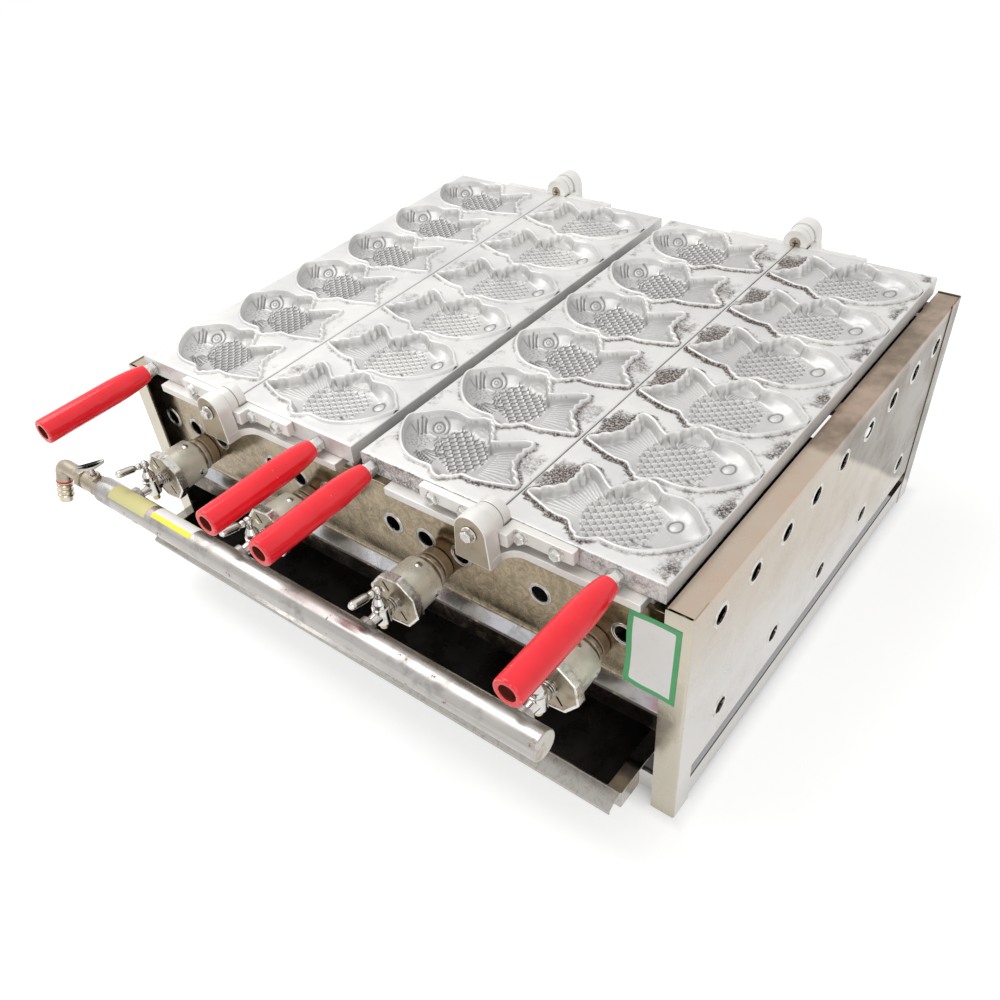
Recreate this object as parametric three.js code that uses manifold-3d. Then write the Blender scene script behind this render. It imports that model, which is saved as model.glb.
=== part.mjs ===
// A two-unit gas griddle for fish-shaped cakes, with mould plates that fold over each other in pairs.
// Millimetres. +X runs to the right along the front, +Y to the back and +Z up.
import * as THREE from "three";
import { mergeVertices } from "three/addons/utils/BufferGeometryUtils.js";
import Module from "manifold-3d";

const wasm = await Module();
wasm.setup();

// Clearances, and how far a cutter runs past what it cuts
const seatGap = 0.3;
const runGap = 0.6;
const boreGap = 0.4;
const overrun = 4;
const mergeTolerance = 1e-4;

// Sides of round pieces
const wideSides = 16;
const rodSides = 10;
const holeSides = 8;
const hexSides = 6;

// Mould plates
const plateWidth = 167.8;
const plateDepth = 590;
const plateThick = 21.3;
const hingeGap = 1.5;
const unitGap = 13.2;

// Fish cavities
const fishRows = 6;
const fishMargin = 4.65;
const rowMargin = 10;
const fishHeightShare = 1.026;
const cavityDepth = 11;
const bellyDepth = 3;
const beadHeight = 3.2;
const beadWidth = 5;
const bellySides = 8;
const bellyShares = { x: 0.14, y: 0.02, halfLength: 0.3, halfHeight: 0.33 };
// Right-hand fish, heading to +X: places as shares of the fish's length and height
const fishShares = [
  [-0.49, -0.227],
  [-0.376, -0.298],
  [-0.261, -0.352],
  [-0.166, -0.354],
  [-0.042, -0.506],
  [0.053, -0.414],
  [0.139, -0.418],
  [0.224, -0.403],
  [0.305, -0.344],
  [0.38, -0.246],
  [0.444, -0.122],
  [0.51, 0.107],
  [0.486, 0.195],
  [0.387, 0.345],
  [0.313, 0.408],
  [0.24, 0.424],
  [0.153, 0.407],
  [0.089, 0.477],
  [0.043, 0.494],
  [-0.028, 0.406],
  [-0.113, 0.215],
  [-0.169, 0.265],
  [-0.236, 0.349],
  [-0.334, 0.404],
  [-0.337, 0.195],
  [-0.353, 0.022],
  [-0.414, -0.074],
];

// Hinge straps, knuckles, pins and the bolts on the straps
const strapReach = 86;
const strapThick = 9;
const strapHeight = 14.5;
const knuckleRadius = 15.5;
const knuckleThick = 10.4;
const webWidth = 10;
const pinRadius = 5;
const pinHeadRadius = 8.5;
const pinHeadThick = 6;
const screwHeadRadius = 7.2;
const screwHeadThick = 3;
const boltRadius = 6.3;
const boltThick = 5;
const boltDrop = 8;
const boltSink = 0.5;
const boltPlaces = [31, 69];

// Handles
const handleReach = 150;
const handleDrop = 12.5;
const handleInsetLeft = 14.8;
const handleInsetRight = 46.3;
const nutRadius = 8.5;
const nutThick = 9;
const ferruleRadius = 8.2;
const ferruleThick = 8.7;
const rodRadius = 5;
const gripRadius = 14.2;
const gripNeckRadius = 10.6;
const gripShoulder = 34;
const gripChamfer = 3;
const gripRecessRadius = 8.2;
const gripRecessDepth = 10;

// Frame
const edgeSlot = 3.7;
const flangeWidth = 25.5;
const frontMargin = 8.2;
const rearMargin = 3.2;
const frameHeight = 280.8;
const sheet = 2;
const footCut = 6;
const postWidth = 28;
const slotBottom = 34;
const slotHeight = 20;
const ventRadius = 9.5;
const sideVentDrop = 37.4;
const sideVentEnd = 52.7;
const sideVentCount = 9;
const lowVentHeight = 97;
const lowVentEnd = 77.7;
const lowVentCount = 5;
const tabInsets = [263.2, 29.2];
const tabWidth = 16;
const tabReach = 11;
const tabThick = 7;
const tabPost = 4;

// Front and rear panels
const panelSheet = 1.5;
const panelSetback = 15.2;
const panelFlange = 14;
const panelFaceHeight = 106;
const ledgeDrop = 10;
const apronHeight = 25;
const apronGap = 0.4;
const apronReturn = 9;
const ventDrop = 48.5;
const ventOffsets = [-59, -15, 31];
const rearPanelHeight = 165;
const rearVentCount = 6;
const rearVentPitch = 110;

// Bearers with their pivot pedestals
const bearerDrop = 4.9;
const bearerThick = 9;
const bearerLip = 11.5;
const bearerSeat = 23;
const bearerLeft = 132;
const bearerRight = 152;
const bearerFillet = 16;
const filletSteps = 3;
const archSteps = 8;
const footHeight = 8.6;
const footWidth = 20;
const footInset = 12;
const pedestalRadius = 17.5;
const pedestalHalf = 20;
const pedestalThick = 17;

// Base rails
const railHeight = 26;
const railBottom = 8;
const railInset = 11.2;
const railFlange = 20;

// Drip tray and its runners
const trayTop = 80;
const trayHeight = 22;
const traySheet = 1.5;
const trayRim = 14.5;
const trayGap = 3.9;
const trayReach = 50.8;
const trayNose = 32;
const trayRearInset = 58.2;
const lipRun = 17;
const lipDrop = 11;
const lipFold = 4;
const lipInset = 2.5;
const runnerThick = 1.7;
const runnerLap = 10;
const runnerInset = 7;

// Burners, seen from the front from left to right, as shares of the frame's half width
const burnerShares = [-0.748, -0.263, 0.231, 0.725];
const burnerDrop = 94.3;
const neckRadius = 15;
const neckHoleRadius = 16.2;
const neckBore = 11;
const neckLength = 60;
const throatLength = 25;
const collarRadius = 18.5;
const collarThick = 11;
const ringRadius = 20;
const ringThick = 5;
const ringSetback = 3;
const burnerHalfWidth = 25;
const burnerHalfHeight = 13;
const burnerRearInset = 36.2;
const restInset = 63.2;
const restSize = 20;
const restWall = 2;

// Mixers and air shutters
const mixerRadius = 26;
const mixerTailRadius = 24.5;
const mixerLength = 34;
const mixerWall = 3;
const neckStandoff = 24.6;
const shutterAcross = 58;
const shutterThick = 9.7;
const shutterWall = 2.5;
const shutterTurn = 30;
const shutterHollow = 23;
const shutterSides = 8;
const airSlotWidth = 2.6;
const airSlotLength = 12;
const airSlotPlace = 18;
const airSlotAngles = [120, 300];

// Gas cocks
const injectorRadius = 6.5;
const injectorLength = 8;
const spindlePlace = 18;
const cockBodyRadius = 9;
const cockBodyHalf = 9.5;
const cockTubeRadius = 8.4;
const glandRadius = 7.4;
const glandHeight = 12;
const glandCrown = 5.6;
const inletRadius = 7.6;
const inletTipRadius = 5.8;
const inletLength = 16.8;
const stubRadius = 4.4;
const stubLength = 9;
const springCurls = 3;
const springSteps = 8;
const springSides = 5;
const springWire = 0.8;
const springPitch = 2.4;
const springSink = 0.5;

// Levers of the gas cocks
const stemRadius = 3.2;
const stemSink = 8;
const stemRise = 8.5;
const ballRadius = 5.4;
const ballCapShare = 0.7;
const beadRadius = 4.2;
const beadPlace = 7.4;
const leverNeck = 2.6;
const leverStart = 11.2;
const leverEnd = 32;
const leverGrip = 4.7;
const leverTilt = 13;

// Gas manifold
const pipeRadius = 15.3;
const pipeWall = 2.8;
const pipePlace = 54;
const pipeRight = 303;
const pipeLeft = 322;
const pipeEnd = 5;
const bossRadius = 9.5;
const bossSink = 3;
const bossBore = 4;

// Master cock with its wing lever, and the hose elbow
const masterLength = 44;
const masterHexRadius = 14.5;
const masterHexLength = 9;
const masterRadius = 12;
const masterBore = 6;
const masterSpindle = 13;
const masterBossRadius = 7.4;
const masterBossHeight = 17;
const wingLength = 34;
const wingHeight = 9;
const wingDip = 4;
const wingThick = 5;
const wingRise = 7;
const wingAngle = 60;
const wingWaistShare = 0.3;
const elbowReach = 44;
const elbowRadius = 9.3;
const elbowDrop = 47;
const elbowTilt = 18;
const elbowBore = 5;
const elbowSides = 12;
const barbRadius = 10.2;
const barbThick = 2.4;
const barbNeck = 1;
const barbCount = 3;
const barbPitch = 6.5;
const barbEnd = 4;

// Places that several pieces share
const frontFace = -plateDepth / 2;
const unitX = (unitGap + hingeGap) / 2 + plateWidth;
const frameInner = unitX + hingeGap / 2 + plateWidth + edgeSlot;
const frameHalf = frameInner + flangeWidth;
const frameFront = frontFace - frontMargin;
const frameRear = plateDepth / 2 + rearMargin;
const frameDepth = frameRear - frameFront;
const sideVentPitch = (frameDepth - 2 * sideVentEnd) / (sideVentCount - 1);
const lowVentPitch = (frameDepth - 2 * lowVentEnd) / (lowVentCount - 1);
const trayFront = frameFront - trayReach;
const trayRear = frameRear - trayRearInset;
const burnerRear = frameRear - burnerRearInset;
const restPlace = frameRear - restInset;
const bearerTop = frameHeight - bearerDrop;
const bearerBottom = bearerTop - bearerThick;
const plateBottom = bearerTop + seatGap;
const plateTop = plateBottom + plateThick;
const axisZ = plateTop + beadHeight + seatGap;
const panelTop = bearerBottom - footHeight - seatGap;
const panelFront = frameFront + panelSetback;
const innerHalf = frameHalf - sheet - seatGap;
const burnerZ = frameHeight - burnerDrop;
const knuckleFar = 2 * (runGap + knuckleThick);
const pedestalNear = knuckleFar + runGap;
const pedestalFar = pedestalNear + pedestalThick;
const fishLength = plateWidth - 2 * fishMargin;
const fishPitch = (plateDepth - 2 * rowMargin) / fishRows;
const fishHeight = fishPitch * fishHeightShare;
const webStart = knuckleRadius + runGap;
const collarFront = panelFront - seatGap - collarThick;
const neckFront = panelFront - neckStandoff;
const mixerRear = neckFront - seatGap;
const mixerFront = mixerRear - mixerLength;
const shutterRear = mixerFront - seatGap;
const shutterFront = shutterRear - shutterThick;
const spindleY = shutterFront - spindlePlace;
const pipeY = shutterFront - pipePlace;
const cockTop = burnerZ + cockBodyHalf + glandHeight;
const trayHalf = frameInner - trayGap;

// Materials
const finish = (color, roughness, metalness) => new THREE.MeshStandardMaterial({ color, roughness, metalness });
const castAluminium = finish(0xc9c8c4, 0.45, 0.9);
const stainless = finish(0xb9b5a8, 0.3, 1);
const blackSteel = finish(0x17130f, 0.6, 0.6);
const galvanised = finish(0xa9ac9c, 0.4, 0.9);
const castIron = finish(0x6b4a38, 0.8, 0.6);
const chromed = finish(0xd5d6d8, 0.12, 1);
const zincPlated = finish(0xb4b6b5, 0.35, 1);
const paintedPipe = finish(0x9a9c9b, 0.45, 0.8);
const nickelled = finish(0x9c9285, 0.35, 0.9);
const redGrip = finish(0xd8101c, 0.35, 0);

// Geometry to solid, and solid to mesh
function solidOf(geometry) {
  const bare = geometry.clone();
  bare.deleteAttribute("normal");
  bare.deleteAttribute("uv");
  const merged = mergeVertices(bare, mergeTolerance);
  const corners = merged.index.array;
  const kept = [];
  for (let i = 0; i < corners.length; i += 3) {
    const [a, b, c] = [corners[i], corners[i + 1], corners[i + 2]];
    if (a !== b && b !== c && c !== a) kept.push(a, b, c);
  }
  return new wasm.Manifold(
    new wasm.Mesh({
      numProp: 3,
      vertProperties: new Float32Array(merged.attributes.position.array),
      triVerts: new Uint32Array(kept),
    }),
  );
}

function join(first, ...others) {
  return others.reduce((whole, piece) => whole.add(piece), first);
}

function cut(body, ...cutters) {
  return cutters.reduce((whole, cutter) => whole.subtract(cutter), body);
}

function addMesh(group, name, solid, material) {
  const made = solid.getMesh();
  const geometry = new THREE.BufferGeometry();
  const places = new Float32Array(made.numVert * 3);
  for (let i = 0; i < made.numVert; i += 1) {
    const start = i * made.numProp;
    places.set(made.vertProperties.subarray(start, start + 3), i * 3);
  }
  geometry.setAttribute("position", new THREE.BufferAttribute(places, 3));
  geometry.setIndex(new THREE.BufferAttribute(made.triVerts, 1));
  geometry.computeVertexNormals();
  const mesh = new THREE.Mesh(geometry, material);
  mesh.name = name;
  group.add(mesh);
  return mesh;
}

function addGroup(parent, x, y, z) {
  const group = new THREE.Group();
  group.position.set(x, y, z);
  parent.add(group);
  return group;
}

// Puts the two ends of a unit shape at exact limits along one axis, so that flush faces lie in one plane
function setLimits(geometry, axis, [from, to]) {
  const places = geometry.getAttribute("position");
  const component = ["x", "y", "z"].indexOf(axis);
  for (let i = 0; i < places.count; i += 1) {
    places.setComponent(i, component, places.getComponent(i, component) < 0 ? from : to);
  }
  return geometry;
}

// Plain solids, each given by its limits along the axes
function box(xs, ys, zs) {
  const geometry = new THREE.BoxGeometry(1, 1, 1);
  setLimits(geometry, "x", xs);
  setLimits(geometry, "y", ys);
  return solidOf(setLimits(geometry, "z", zs));
}

// Limits along Y, given as distances outwards from a plate's end face: end is -1 in front and 1 behind
function outwards(end, [near, far]) {
  const limits = [end * (plateDepth / 2 + near), end * (plateDepth / 2 + far)];
  return end < 0 ? limits.reverse() : limits;
}

function boxOut(end, xs, span, zs) {
  return box(xs, outwards(end, span), zs);
}

const turnTo = {
  x: (geometry) => geometry.rotateZ(-Math.PI / 2),
  y: (geometry) => geometry,
  z: (geometry) => geometry.rotateX(Math.PI / 2),
};

// A cylinder or cone along an axis through the point, from the first limit to the second
function rod(axis, [r0, r1], limits, point, sides) {
  const geometry = setLimits(new THREE.CylinderGeometry(r1, r0, 1, sides), "y", limits);
  return solidOf(turnTo[axis](geometry).translate(...point));
}

function rodOut(end, radius, span, [x, z], sides) {
  return rod("y", [radius, radius], outwards(end, span), [x, 0, z], sides);
}

// A profile of radius and place, turned round an axis through the point
function turned(axis, profile, point, sides) {
  const geometry = new THREE.LatheGeometry(
    profile.map(([radius, place]) => new THREE.Vector2(radius, place)),
    sides,
  );
  turnTo[axis](geometry);
  return solidOf(geometry.translate(...point));
}

// An outline drawn out along one axis between two limits
const drawAxes = {
  x: [
    [0, 1, 0],
    [0, 0, 1],
    [1, 0, 0],
  ],
  y: [
    [1, 0, 0],
    [0, 0, 1],
    [0, -1, 0],
  ],
  z: [
    [1, 0, 0],
    [0, 1, 0],
    [0, 0, 1],
  ],
};

function drawn(axis, outline, limits) {
  const shape = new THREE.Shape(outline.map(([u, v]) => new THREE.Vector2(u, v)));
  const geometry = new THREE.ExtrudeGeometry(shape, { depth: 1, bevelEnabled: false });
  geometry.translate(0, 0, -0.5);
  const basis = drawAxes[axis].map((direction) => new THREE.Vector3(...direction));
  geometry.applyMatrix4(new THREE.Matrix4().makeBasis(...basis));
  return solidOf(setLimits(geometry, axis, limits));
}

// Each corner of an outline moved outwards by a distance, or inwards by a negative one
function offsetOutline(outline, distance, closed = true) {
  const count = outline.length;
  return outline.map(([x, y], i) => {
    const before = closed || i > 0 ? outline[(i + count - 1) % count] : null;
    const after = closed || i < count - 1 ? outline[(i + 1) % count] : null;
    const normals = [
      [before, [x, y]],
      [[x, y], after],
    ]
      .filter(([a, b]) => a && b)
      .map(([a, b]) => new THREE.Vector2(b[1] - a[1], a[0] - b[0]).normalize());
    const sum = normals.reduce((total, normal) => total.clone().add(normal));
    const scale = (normals.length * distance) / Math.max(sum.lengthSq(), 1);
    return [x + sum.x * scale, y + sum.y * scale];
  });
}

// The closed outline of a bent sheet: the line, and the same line moved to its right by the thickness
function sheetOutline(line, thickness) {
  return [...line, ...offsetOutline(line, thickness, false).reverse()];
}

function arc([x, y], radius, fromDegrees, toDegrees, steps) {
  return Array.from({ length: steps + 1 }, (_, i) => {
    const angle = THREE.MathUtils.degToRad(fromDegrees + ((toDegrees - fromDegrees) * i) / steps);
    return [x + radius * Math.cos(angle), y + radius * Math.sin(angle)];
  });
}

// A row of places round a middle
function rowOf(count, pitch, middle) {
  return Array.from({ length: count }, (_, i) => middle + pitch * (i - (count - 1) / 2));
}

// Mould plate: side is -1 for the left plate of a pair, whose fish head to -X, and 1 for the right one
function mouldPlate(side) {
  const centre = side * (hingeGap + plateWidth) * 0.5;
  const ends = [centre - plateWidth / 2, centre + plateWidth / 2];
  let plate = box(ends, [frontFace, plateDepth / 2], [plateBottom, plateTop]);
  const pockets = [];
  for (const row of rowOf(fishRows, fishPitch, 0)) {
    const places = fishShares.map(([x, y]) => [centre + side * x * fishLength, row + y * fishHeight]);
    const outline = side < 0 ? places.reverse() : places;
    const outer = offsetOutline(outline, beadWidth / 2);
    const inner = offsetOutline(outline, -beadWidth / 2);
    const belly = arc([0, 0], 1, 0, 360, bellySides)
      .slice(0, bellySides)
      .map(([u, v]) => [
        centre + side * (bellyShares.x + u * bellyShares.halfLength) * fishLength,
        row + (bellyShares.y + v * bellyShares.halfHeight) * fishHeight,
      ]);
    const above = plateTop + beadHeight + overrun;
    plate = plate.add(drawn("z", outer, [plateTop - seatGap, plateTop + beadHeight]));
    pockets.push(drawn("z", inner, [plateTop - cavityDepth, above]));
    pockets.push(drawn("z", belly, [plateTop - cavityDepth - bellyDepth, plateTop - cavityDepth + seatGap]));
  }
  return cut(plate, ...pockets);
}

// Strap with its knuckle, bolted to one end of a plate. The right one jogs round the left one's knuckle.
function hingeStrap(side, end) {
  const zs = [plateTop - strapHeight, plateTop];
  const spread = (near, far) => (side < 0 ? [-far, -near] : [near, far]);
  const near = side < 0 ? runGap : 2 * runGap + knuckleThick;
  const far = near + knuckleThick;
  const strapFar = seatGap + strapThick;
  const pieces = [
    boxOut(end, spread(side < 0 ? 0 : webStart, strapReach), [seatGap, strapFar], zs),
    rodOut(end, knuckleRadius, [near, far], [0, axisZ], wideSides),
  ];
  if (side > 0) {
    pieces.push(boxOut(end, [webStart, webStart + webWidth], [seatGap, far], zs));
    pieces.push(boxOut(end, [0, webStart + webWidth], [near, far], zs));
  }
  for (const place of boltPlaces) {
    const limits = [strapFar - boltSink, strapFar + boltThick];
    pieces.push(rodOut(end, boltRadius, limits, [side * place, plateTop - boltDrop], hexSides));
  }
  const bore = rodOut(end, pinRadius + boreGap, [near - overrun, far + overrun], [0, axisZ], rodSides);
  const cutters = [bore];
  if (side < 0 && end > 0) {
    const depth = [near - overrun, near + runGap + screwHeadThick];
    cutters.push(rodOut(end, screwHeadRadius + boreGap, depth, [0, axisZ], rodSides));
  }
  return cut(join(...pieces), ...cutters);
}

// Pivot pin through a pedestal and both knuckles. The rear one has a screw head sunk in the left knuckle.
function hingePin(end) {
  const screwFace = runGap + seatGap;
  const shankStart = end < 0 ? screwFace : screwFace + screwHeadThick / 2;
  const headNear = pedestalFar + seatGap;
  const pin = join(
    rodOut(end, pinRadius, [shankStart, headNear + pinHeadThick / 2], [0, axisZ], rodSides),
    rodOut(end, pinHeadRadius, [headNear, headNear + pinHeadThick], [0, axisZ], hexSides),
  );
  if (end < 0) return pin;
  return pin.add(rodOut(end, screwHeadRadius, [screwFace, screwFace + screwHeadThick], [0, axisZ], rodSides));
}

// Bearer under the plates' ends: a bar with feet, a bump with hollow fillets and the pivot pedestal on it
function bearer(end) {
  const hollowMiddle = pedestalHalf + bearerFillet;
  const bump = [
    [-hollowMiddle, 0],
    ...arc([-hollowMiddle, bearerLip + bearerFillet], bearerFillet, 270, 360, filletSteps),
    [-pedestalHalf, pedestalFar],
    [pedestalHalf, pedestalFar],
    ...arc([hollowMiddle, bearerLip + bearerFillet], bearerFillet, 180, 270, filletSteps),
    [hollowMiddle, 0],
  ].map(([x, out]) => [x, end * (plateDepth / 2 + out)]);
  const rise = axisZ - bearerBottom;
  const tangent = Math.acos(pedestalRadius / Math.hypot(pedestalHalf, rise)) - Math.atan2(rise, pedestalHalf);
  const tangentDegrees = THREE.MathUtils.radToDeg(tangent);
  const stone = [
    [pedestalHalf, bearerBottom],
    ...arc([0, axisZ], pedestalRadius, tangentDegrees, 180 - tangentDegrees, archSteps),
    [-pedestalHalf, bearerBottom],
  ];
  const backs = [-bearerSeat, -bearerSeat + footInset];
  const footZs = [bearerBottom - footHeight, bearerBottom + seatGap];
  const whole = join(
    boxOut(end, [-bearerLeft, bearerRight], [-bearerSeat, bearerLip], [bearerBottom, bearerTop]),
    drawn("z", bump, [bearerBottom, bearerTop]),
    drawn("y", stone, outwards(end, [pedestalNear, pedestalFar])),
    boxOut(end, [-bearerLeft, footWidth - bearerLeft], backs, footZs),
    boxOut(end, [bearerRight - footWidth, bearerRight], backs, footZs),
  );
  const through = [pedestalNear - overrun, pedestalFar + overrun];
  return whole.subtract(rodOut(end, pinRadius + boreGap, through, [0, axisZ], rodSides));
}

// Handle: a rod with a hexagon and a ferrule at the plate, and a tapered grip on it
function handleRod(x) {
  const z = plateTop - handleDrop;
  const ferruleFar = seatGap + nutThick + ferruleThick;
  const rodFar = handleReach - gripRecessDepth;
  return join(
    rodOut(-1, nutRadius, [seatGap, seatGap + nutThick], [x, z], hexSides),
    rodOut(-1, ferruleRadius, [nutThick, ferruleFar], [x, z], rodSides),
    rodOut(-1, rodRadius, [nutThick, rodFar], [x, z], rodSides),
  );
}

function handleGrip(x) {
  const z = plateTop - handleDrop;
  const start = 2 * seatGap + nutThick + ferruleThick;
  const bore = rodRadius + runGap;
  const profile = [
    [bore, start],
    [gripNeckRadius, start],
    [(gripNeckRadius + gripRadius) / 2, start + gripShoulder / 3],
    [gripRadius, start + gripShoulder],
    [gripRadius, handleReach - gripChamfer],
    [gripRadius - gripChamfer / 2, handleReach],
    [gripRecessRadius, handleReach],
    [gripRecessRadius, handleReach - gripRecessDepth],
    [bore, handleReach - gripRecessDepth],
    [bore, start],
  ].map(([radius, out]) => [radius, frontFace - out]);
  return turned("y", profile.reverse(), [x, 0, z], rodSides);
}

// Side sheet: side is -1 on the left. It folds in at the top, the front post and the rear post.
function sidePanel(side) {
  const spread = (near, far) => (side < 0 ? [-far, -near] : [near, far]);
  const hollow = box(
    spread(frameInner - overrun, frameHalf - sheet),
    [frameFront + sheet, frameRear - sheet],
    [-overrun, frameHeight - sheet],
  );
  const skin = box(spread(frameInner, frameHalf), [frameFront, frameRear], [0, frameHeight]).subtract(hollow);
  const runnerTop = trayTop - traySheet - seatGap;
  const runnerYs = [frameFront + runnerInset, frameRear - runnerInset];
  const runner = box(
    spread(trayHalf - runnerLap, frameHalf - sheet / 2),
    runnerYs,
    [runnerTop - runnerThick, runnerTop],
  );
  const tab = [
    [frameInner - tabReach, bearerTop - tabThick],
    [frameInner + tabPost, bearerTop - tabThick],
    [frameInner + tabPost, frameHeight - sheet / 2],
    [frameInner + seatGap, frameHeight - sheet / 2],
    [frameInner + seatGap, bearerTop],
    [frameInner - tabReach, bearerTop],
  ].map(([x, z]) => [side * x, z]);
  const tabOutline = side < 0 ? [...tab].reverse() : tab;
  const tabs = tabInsets.map((inset) => {
    const place = frameRear - inset;
    return drawn("y", tabOutline, [place - tabWidth / 2, place + tabWidth / 2]);
  });
  const middle = (frameFront + frameRear) / 2;
  const through = spread(frameHalf - sheet - overrun, frameHalf + overrun);
  const vent = (y, z) => rod("x", [ventRadius, ventRadius], through, [0, y, z], holeSides);
  const between = [frameFront + postWidth, frameRear - postWidth];
  return cut(
    join(skin, runner, ...tabs),
    box(through, between, [-overrun, footCut]),
    box(through, between, [slotBottom, slotBottom + slotHeight]),
    ...rowOf(sideVentCount, sideVentPitch, middle).map((y) => vent(y, frameHeight - sideVentDrop)),
    ...rowOf(lowVentCount, lowVentPitch, middle).map((y) => vent(y, lowVentHeight)),
  );
}

// Front panel: a flange, the face, a sloping ledge and the apron, in one bent sheet with holes
function frontPanel(burnerXs) {
  const apronFront = frameFront + sheet + apronGap;
  const ledgeTop = panelTop - panelFaceHeight;
  const apronTop = ledgeTop - ledgeDrop;
  const line = [
    [panelFront + panelFlange, panelTop],
    [panelFront, panelTop],
    [panelFront, ledgeTop],
    [apronFront, apronTop],
    [apronFront, apronTop - apronHeight],
    [apronFront + apronReturn, apronTop - apronHeight],
  ];
  const whole = drawn("x", sheetOutline(line, -panelSheet), [-innerHalf, innerHalf]);
  const through = [panelFront - overrun, panelFront + panelSheet + overrun];
  const ventZ = panelTop - ventDrop;
  const vents = burnerXs.flatMap((x) => ventOffsets.map((offset) => x + offset));
  return cut(
    whole,
    ...burnerXs.map((x) => rod("y", [neckHoleRadius, neckHoleRadius], through, [x, 0, burnerZ], rodSides)),
    ...vents.map((x) => rod("y", [ventRadius, ventRadius], through, [x, 0, ventZ], holeSides)),
  );
}

function rearPanel() {
  const face = -panelFront;
  const line = [
    [face - panelFlange, panelTop],
    [face, panelTop],
    [face, panelTop - rearPanelHeight],
    [face - apronReturn, panelTop - rearPanelHeight],
  ];
  const whole = drawn("x", sheetOutline(line, panelSheet), [-innerHalf, innerHalf]);
  const through = [face - panelSheet - overrun, face + overrun];
  const vents = rowOf(rearVentCount, rearVentPitch, 0);
  return cut(
    whole,
    ...vents.map((x) => rod("y", [ventRadius, ventRadius], through, [x, 0, panelTop - ventDrop], holeSides)),
  );
}

// Base rail: an angle between the side sheets
function baseRail(end) {
  const face = end < 0 ? frameFront + railInset : frameRear - railInset;
  const line = [
    [face, railBottom + railHeight],
    [face, railBottom],
    [face - end * railFlange, railBottom],
  ];
  return drawn("x", sheetOutline(line, end * sheet), [-innerHalf, innerHalf]);
}

// Drip tray: a shallow pan with outward rims, a wider nose in front and a sloping pull lip
function dripTray() {
  const bottom = trayTop - trayHeight;
  const body = trayHalf - trayRim;
  const front = trayFront;
  const under = [bottom - overrun, trayTop - traySheet];
  const nose = front + trayNose;
  const both = (near, far, ys, zs) => [box([-far, -near], ys, zs), box([near, far], ys, zs)];
  const pan = cut(
    box([-trayHalf, trayHalf], [front, trayRear], [bottom, trayTop]),
    box(
      [traySheet - body, body - traySheet],
      [front + traySheet, trayRear - traySheet],
      [bottom + traySheet, trayTop + overrun],
    ),
    ...both(body, trayHalf + overrun, [nose, trayRear + overrun], under),
    ...both(body, trayHalf - traySheet, [front + traySheet, nose + overrun], under),
  );
  const lip = [
    [front + traySheet / 4, trayTop - traySheet / 2],
    [front - lipRun, trayTop - lipDrop],
    [front - lipRun, trayTop - lipDrop - lipFold],
  ];
  return pan.add(drawn("x", sheetOutline(lip, -traySheet), [lipInset - trayHalf, trayHalf - lipInset]));
}

// Burner, round its own axis along Y: a ribbed neck through the front panel, a throat and the long head
function burner() {
  const headFront = neckFront + neckLength + throatLength;
  const neckEnd = neckFront + neckLength;
  const ringRear = collarFront - ringSetback;
  const sides = rodSides;
  const neck = [
    [0, neckFront],
    [neckRadius, neckFront],
    [neckRadius, ringRear - ringThick],
    [ringRadius, ringRear - ringThick],
    [ringRadius, ringRear],
    [neckRadius, ringRear],
    [neckRadius, collarFront],
    [collarRadius, collarFront],
    [collarRadius, collarFront + collarThick],
    [neckRadius, collarFront + collarThick],
    [neckRadius, neckEnd],
    [burnerHalfHeight, headFront + overrun],
    [0, headFront + overrun],
  ];
  const head = box(
    [-burnerHalfWidth, burnerHalfWidth],
    [headFront, burnerRear],
    [-burnerHalfHeight, burnerHalfHeight],
  );
  const bore = rod("y", [neckBore, neckBore], [neckFront - overrun, neckEnd], [0, 0, 0], sides);
  return join(turned("y", neck, [0, 0, 0], sides), head).subtract(bore);
}

// Channel across the frame that carries the burners' rear ends
function burnerRest() {
  const top = burnerZ - burnerHalfHeight - seatGap;
  const ys = [restPlace, restPlace + restSize];
  const whole = box([-innerHalf, innerHalf], ys, [top - restSize, top]);
  const hollowYs = [restPlace + restWall, restPlace + restSize - restWall];
  const hollowZs = [top - restSize + restWall, top - restWall];
  return whole.subtract(box([-innerHalf - overrun, innerHalf + overrun], hollowYs, hollowZs));
}

// Mixer cup, turned round the burner's axis
function mixer() {
  const profile = [
    [neckBore, mixerRear],
    [neckBore, mixerRear - mixerWall],
    [mixerTailRadius - mixerWall, mixerRear - mixerWall],
    [mixerRadius - mixerWall, mixerFront],
    [mixerRadius, mixerFront],
    [mixerTailRadius, mixerRear],
    [neckBore, mixerRear],
  ];
  return turned("y", profile, [0, 0, 0], wideSides);
}

// Air shutter: an eight-sided cap with a hollow back, a bore for the injector and two radial slots
function airShutter() {
  const corner = shutterAcross / 2 / Math.cos(Math.PI / shutterSides);
  const outline = arc([0, 0], corner, shutterTurn, shutterTurn + 360, shutterSides).slice(0, shutterSides);
  const through = [shutterFront - overrun, shutterRear + overrun];
  const slots = airSlotAngles.map((degrees) => {
    const angle = THREE.MathUtils.degToRad(degrees);
    const geometry = new THREE.BoxGeometry(airSlotLength, 2 * (shutterThick + overrun), airSlotWidth);
    geometry.translate(airSlotPlace, 0, 0).rotateY(-angle);
    return solidOf(geometry.translate(0, (shutterFront + shutterRear) / 2, 0));
  });
  return cut(
    drawn("y", outline, [shutterFront, shutterRear]),
    rod("y", [shutterHollow, shutterHollow], [shutterFront + shutterWall, through[1]], [0, 0, 0], wideSides),
    rod("y", [injectorRadius + boreGap, injectorRadius + boreGap], through, [0, 0, 0], rodSides),
    ...slots,
  );
}

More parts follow.
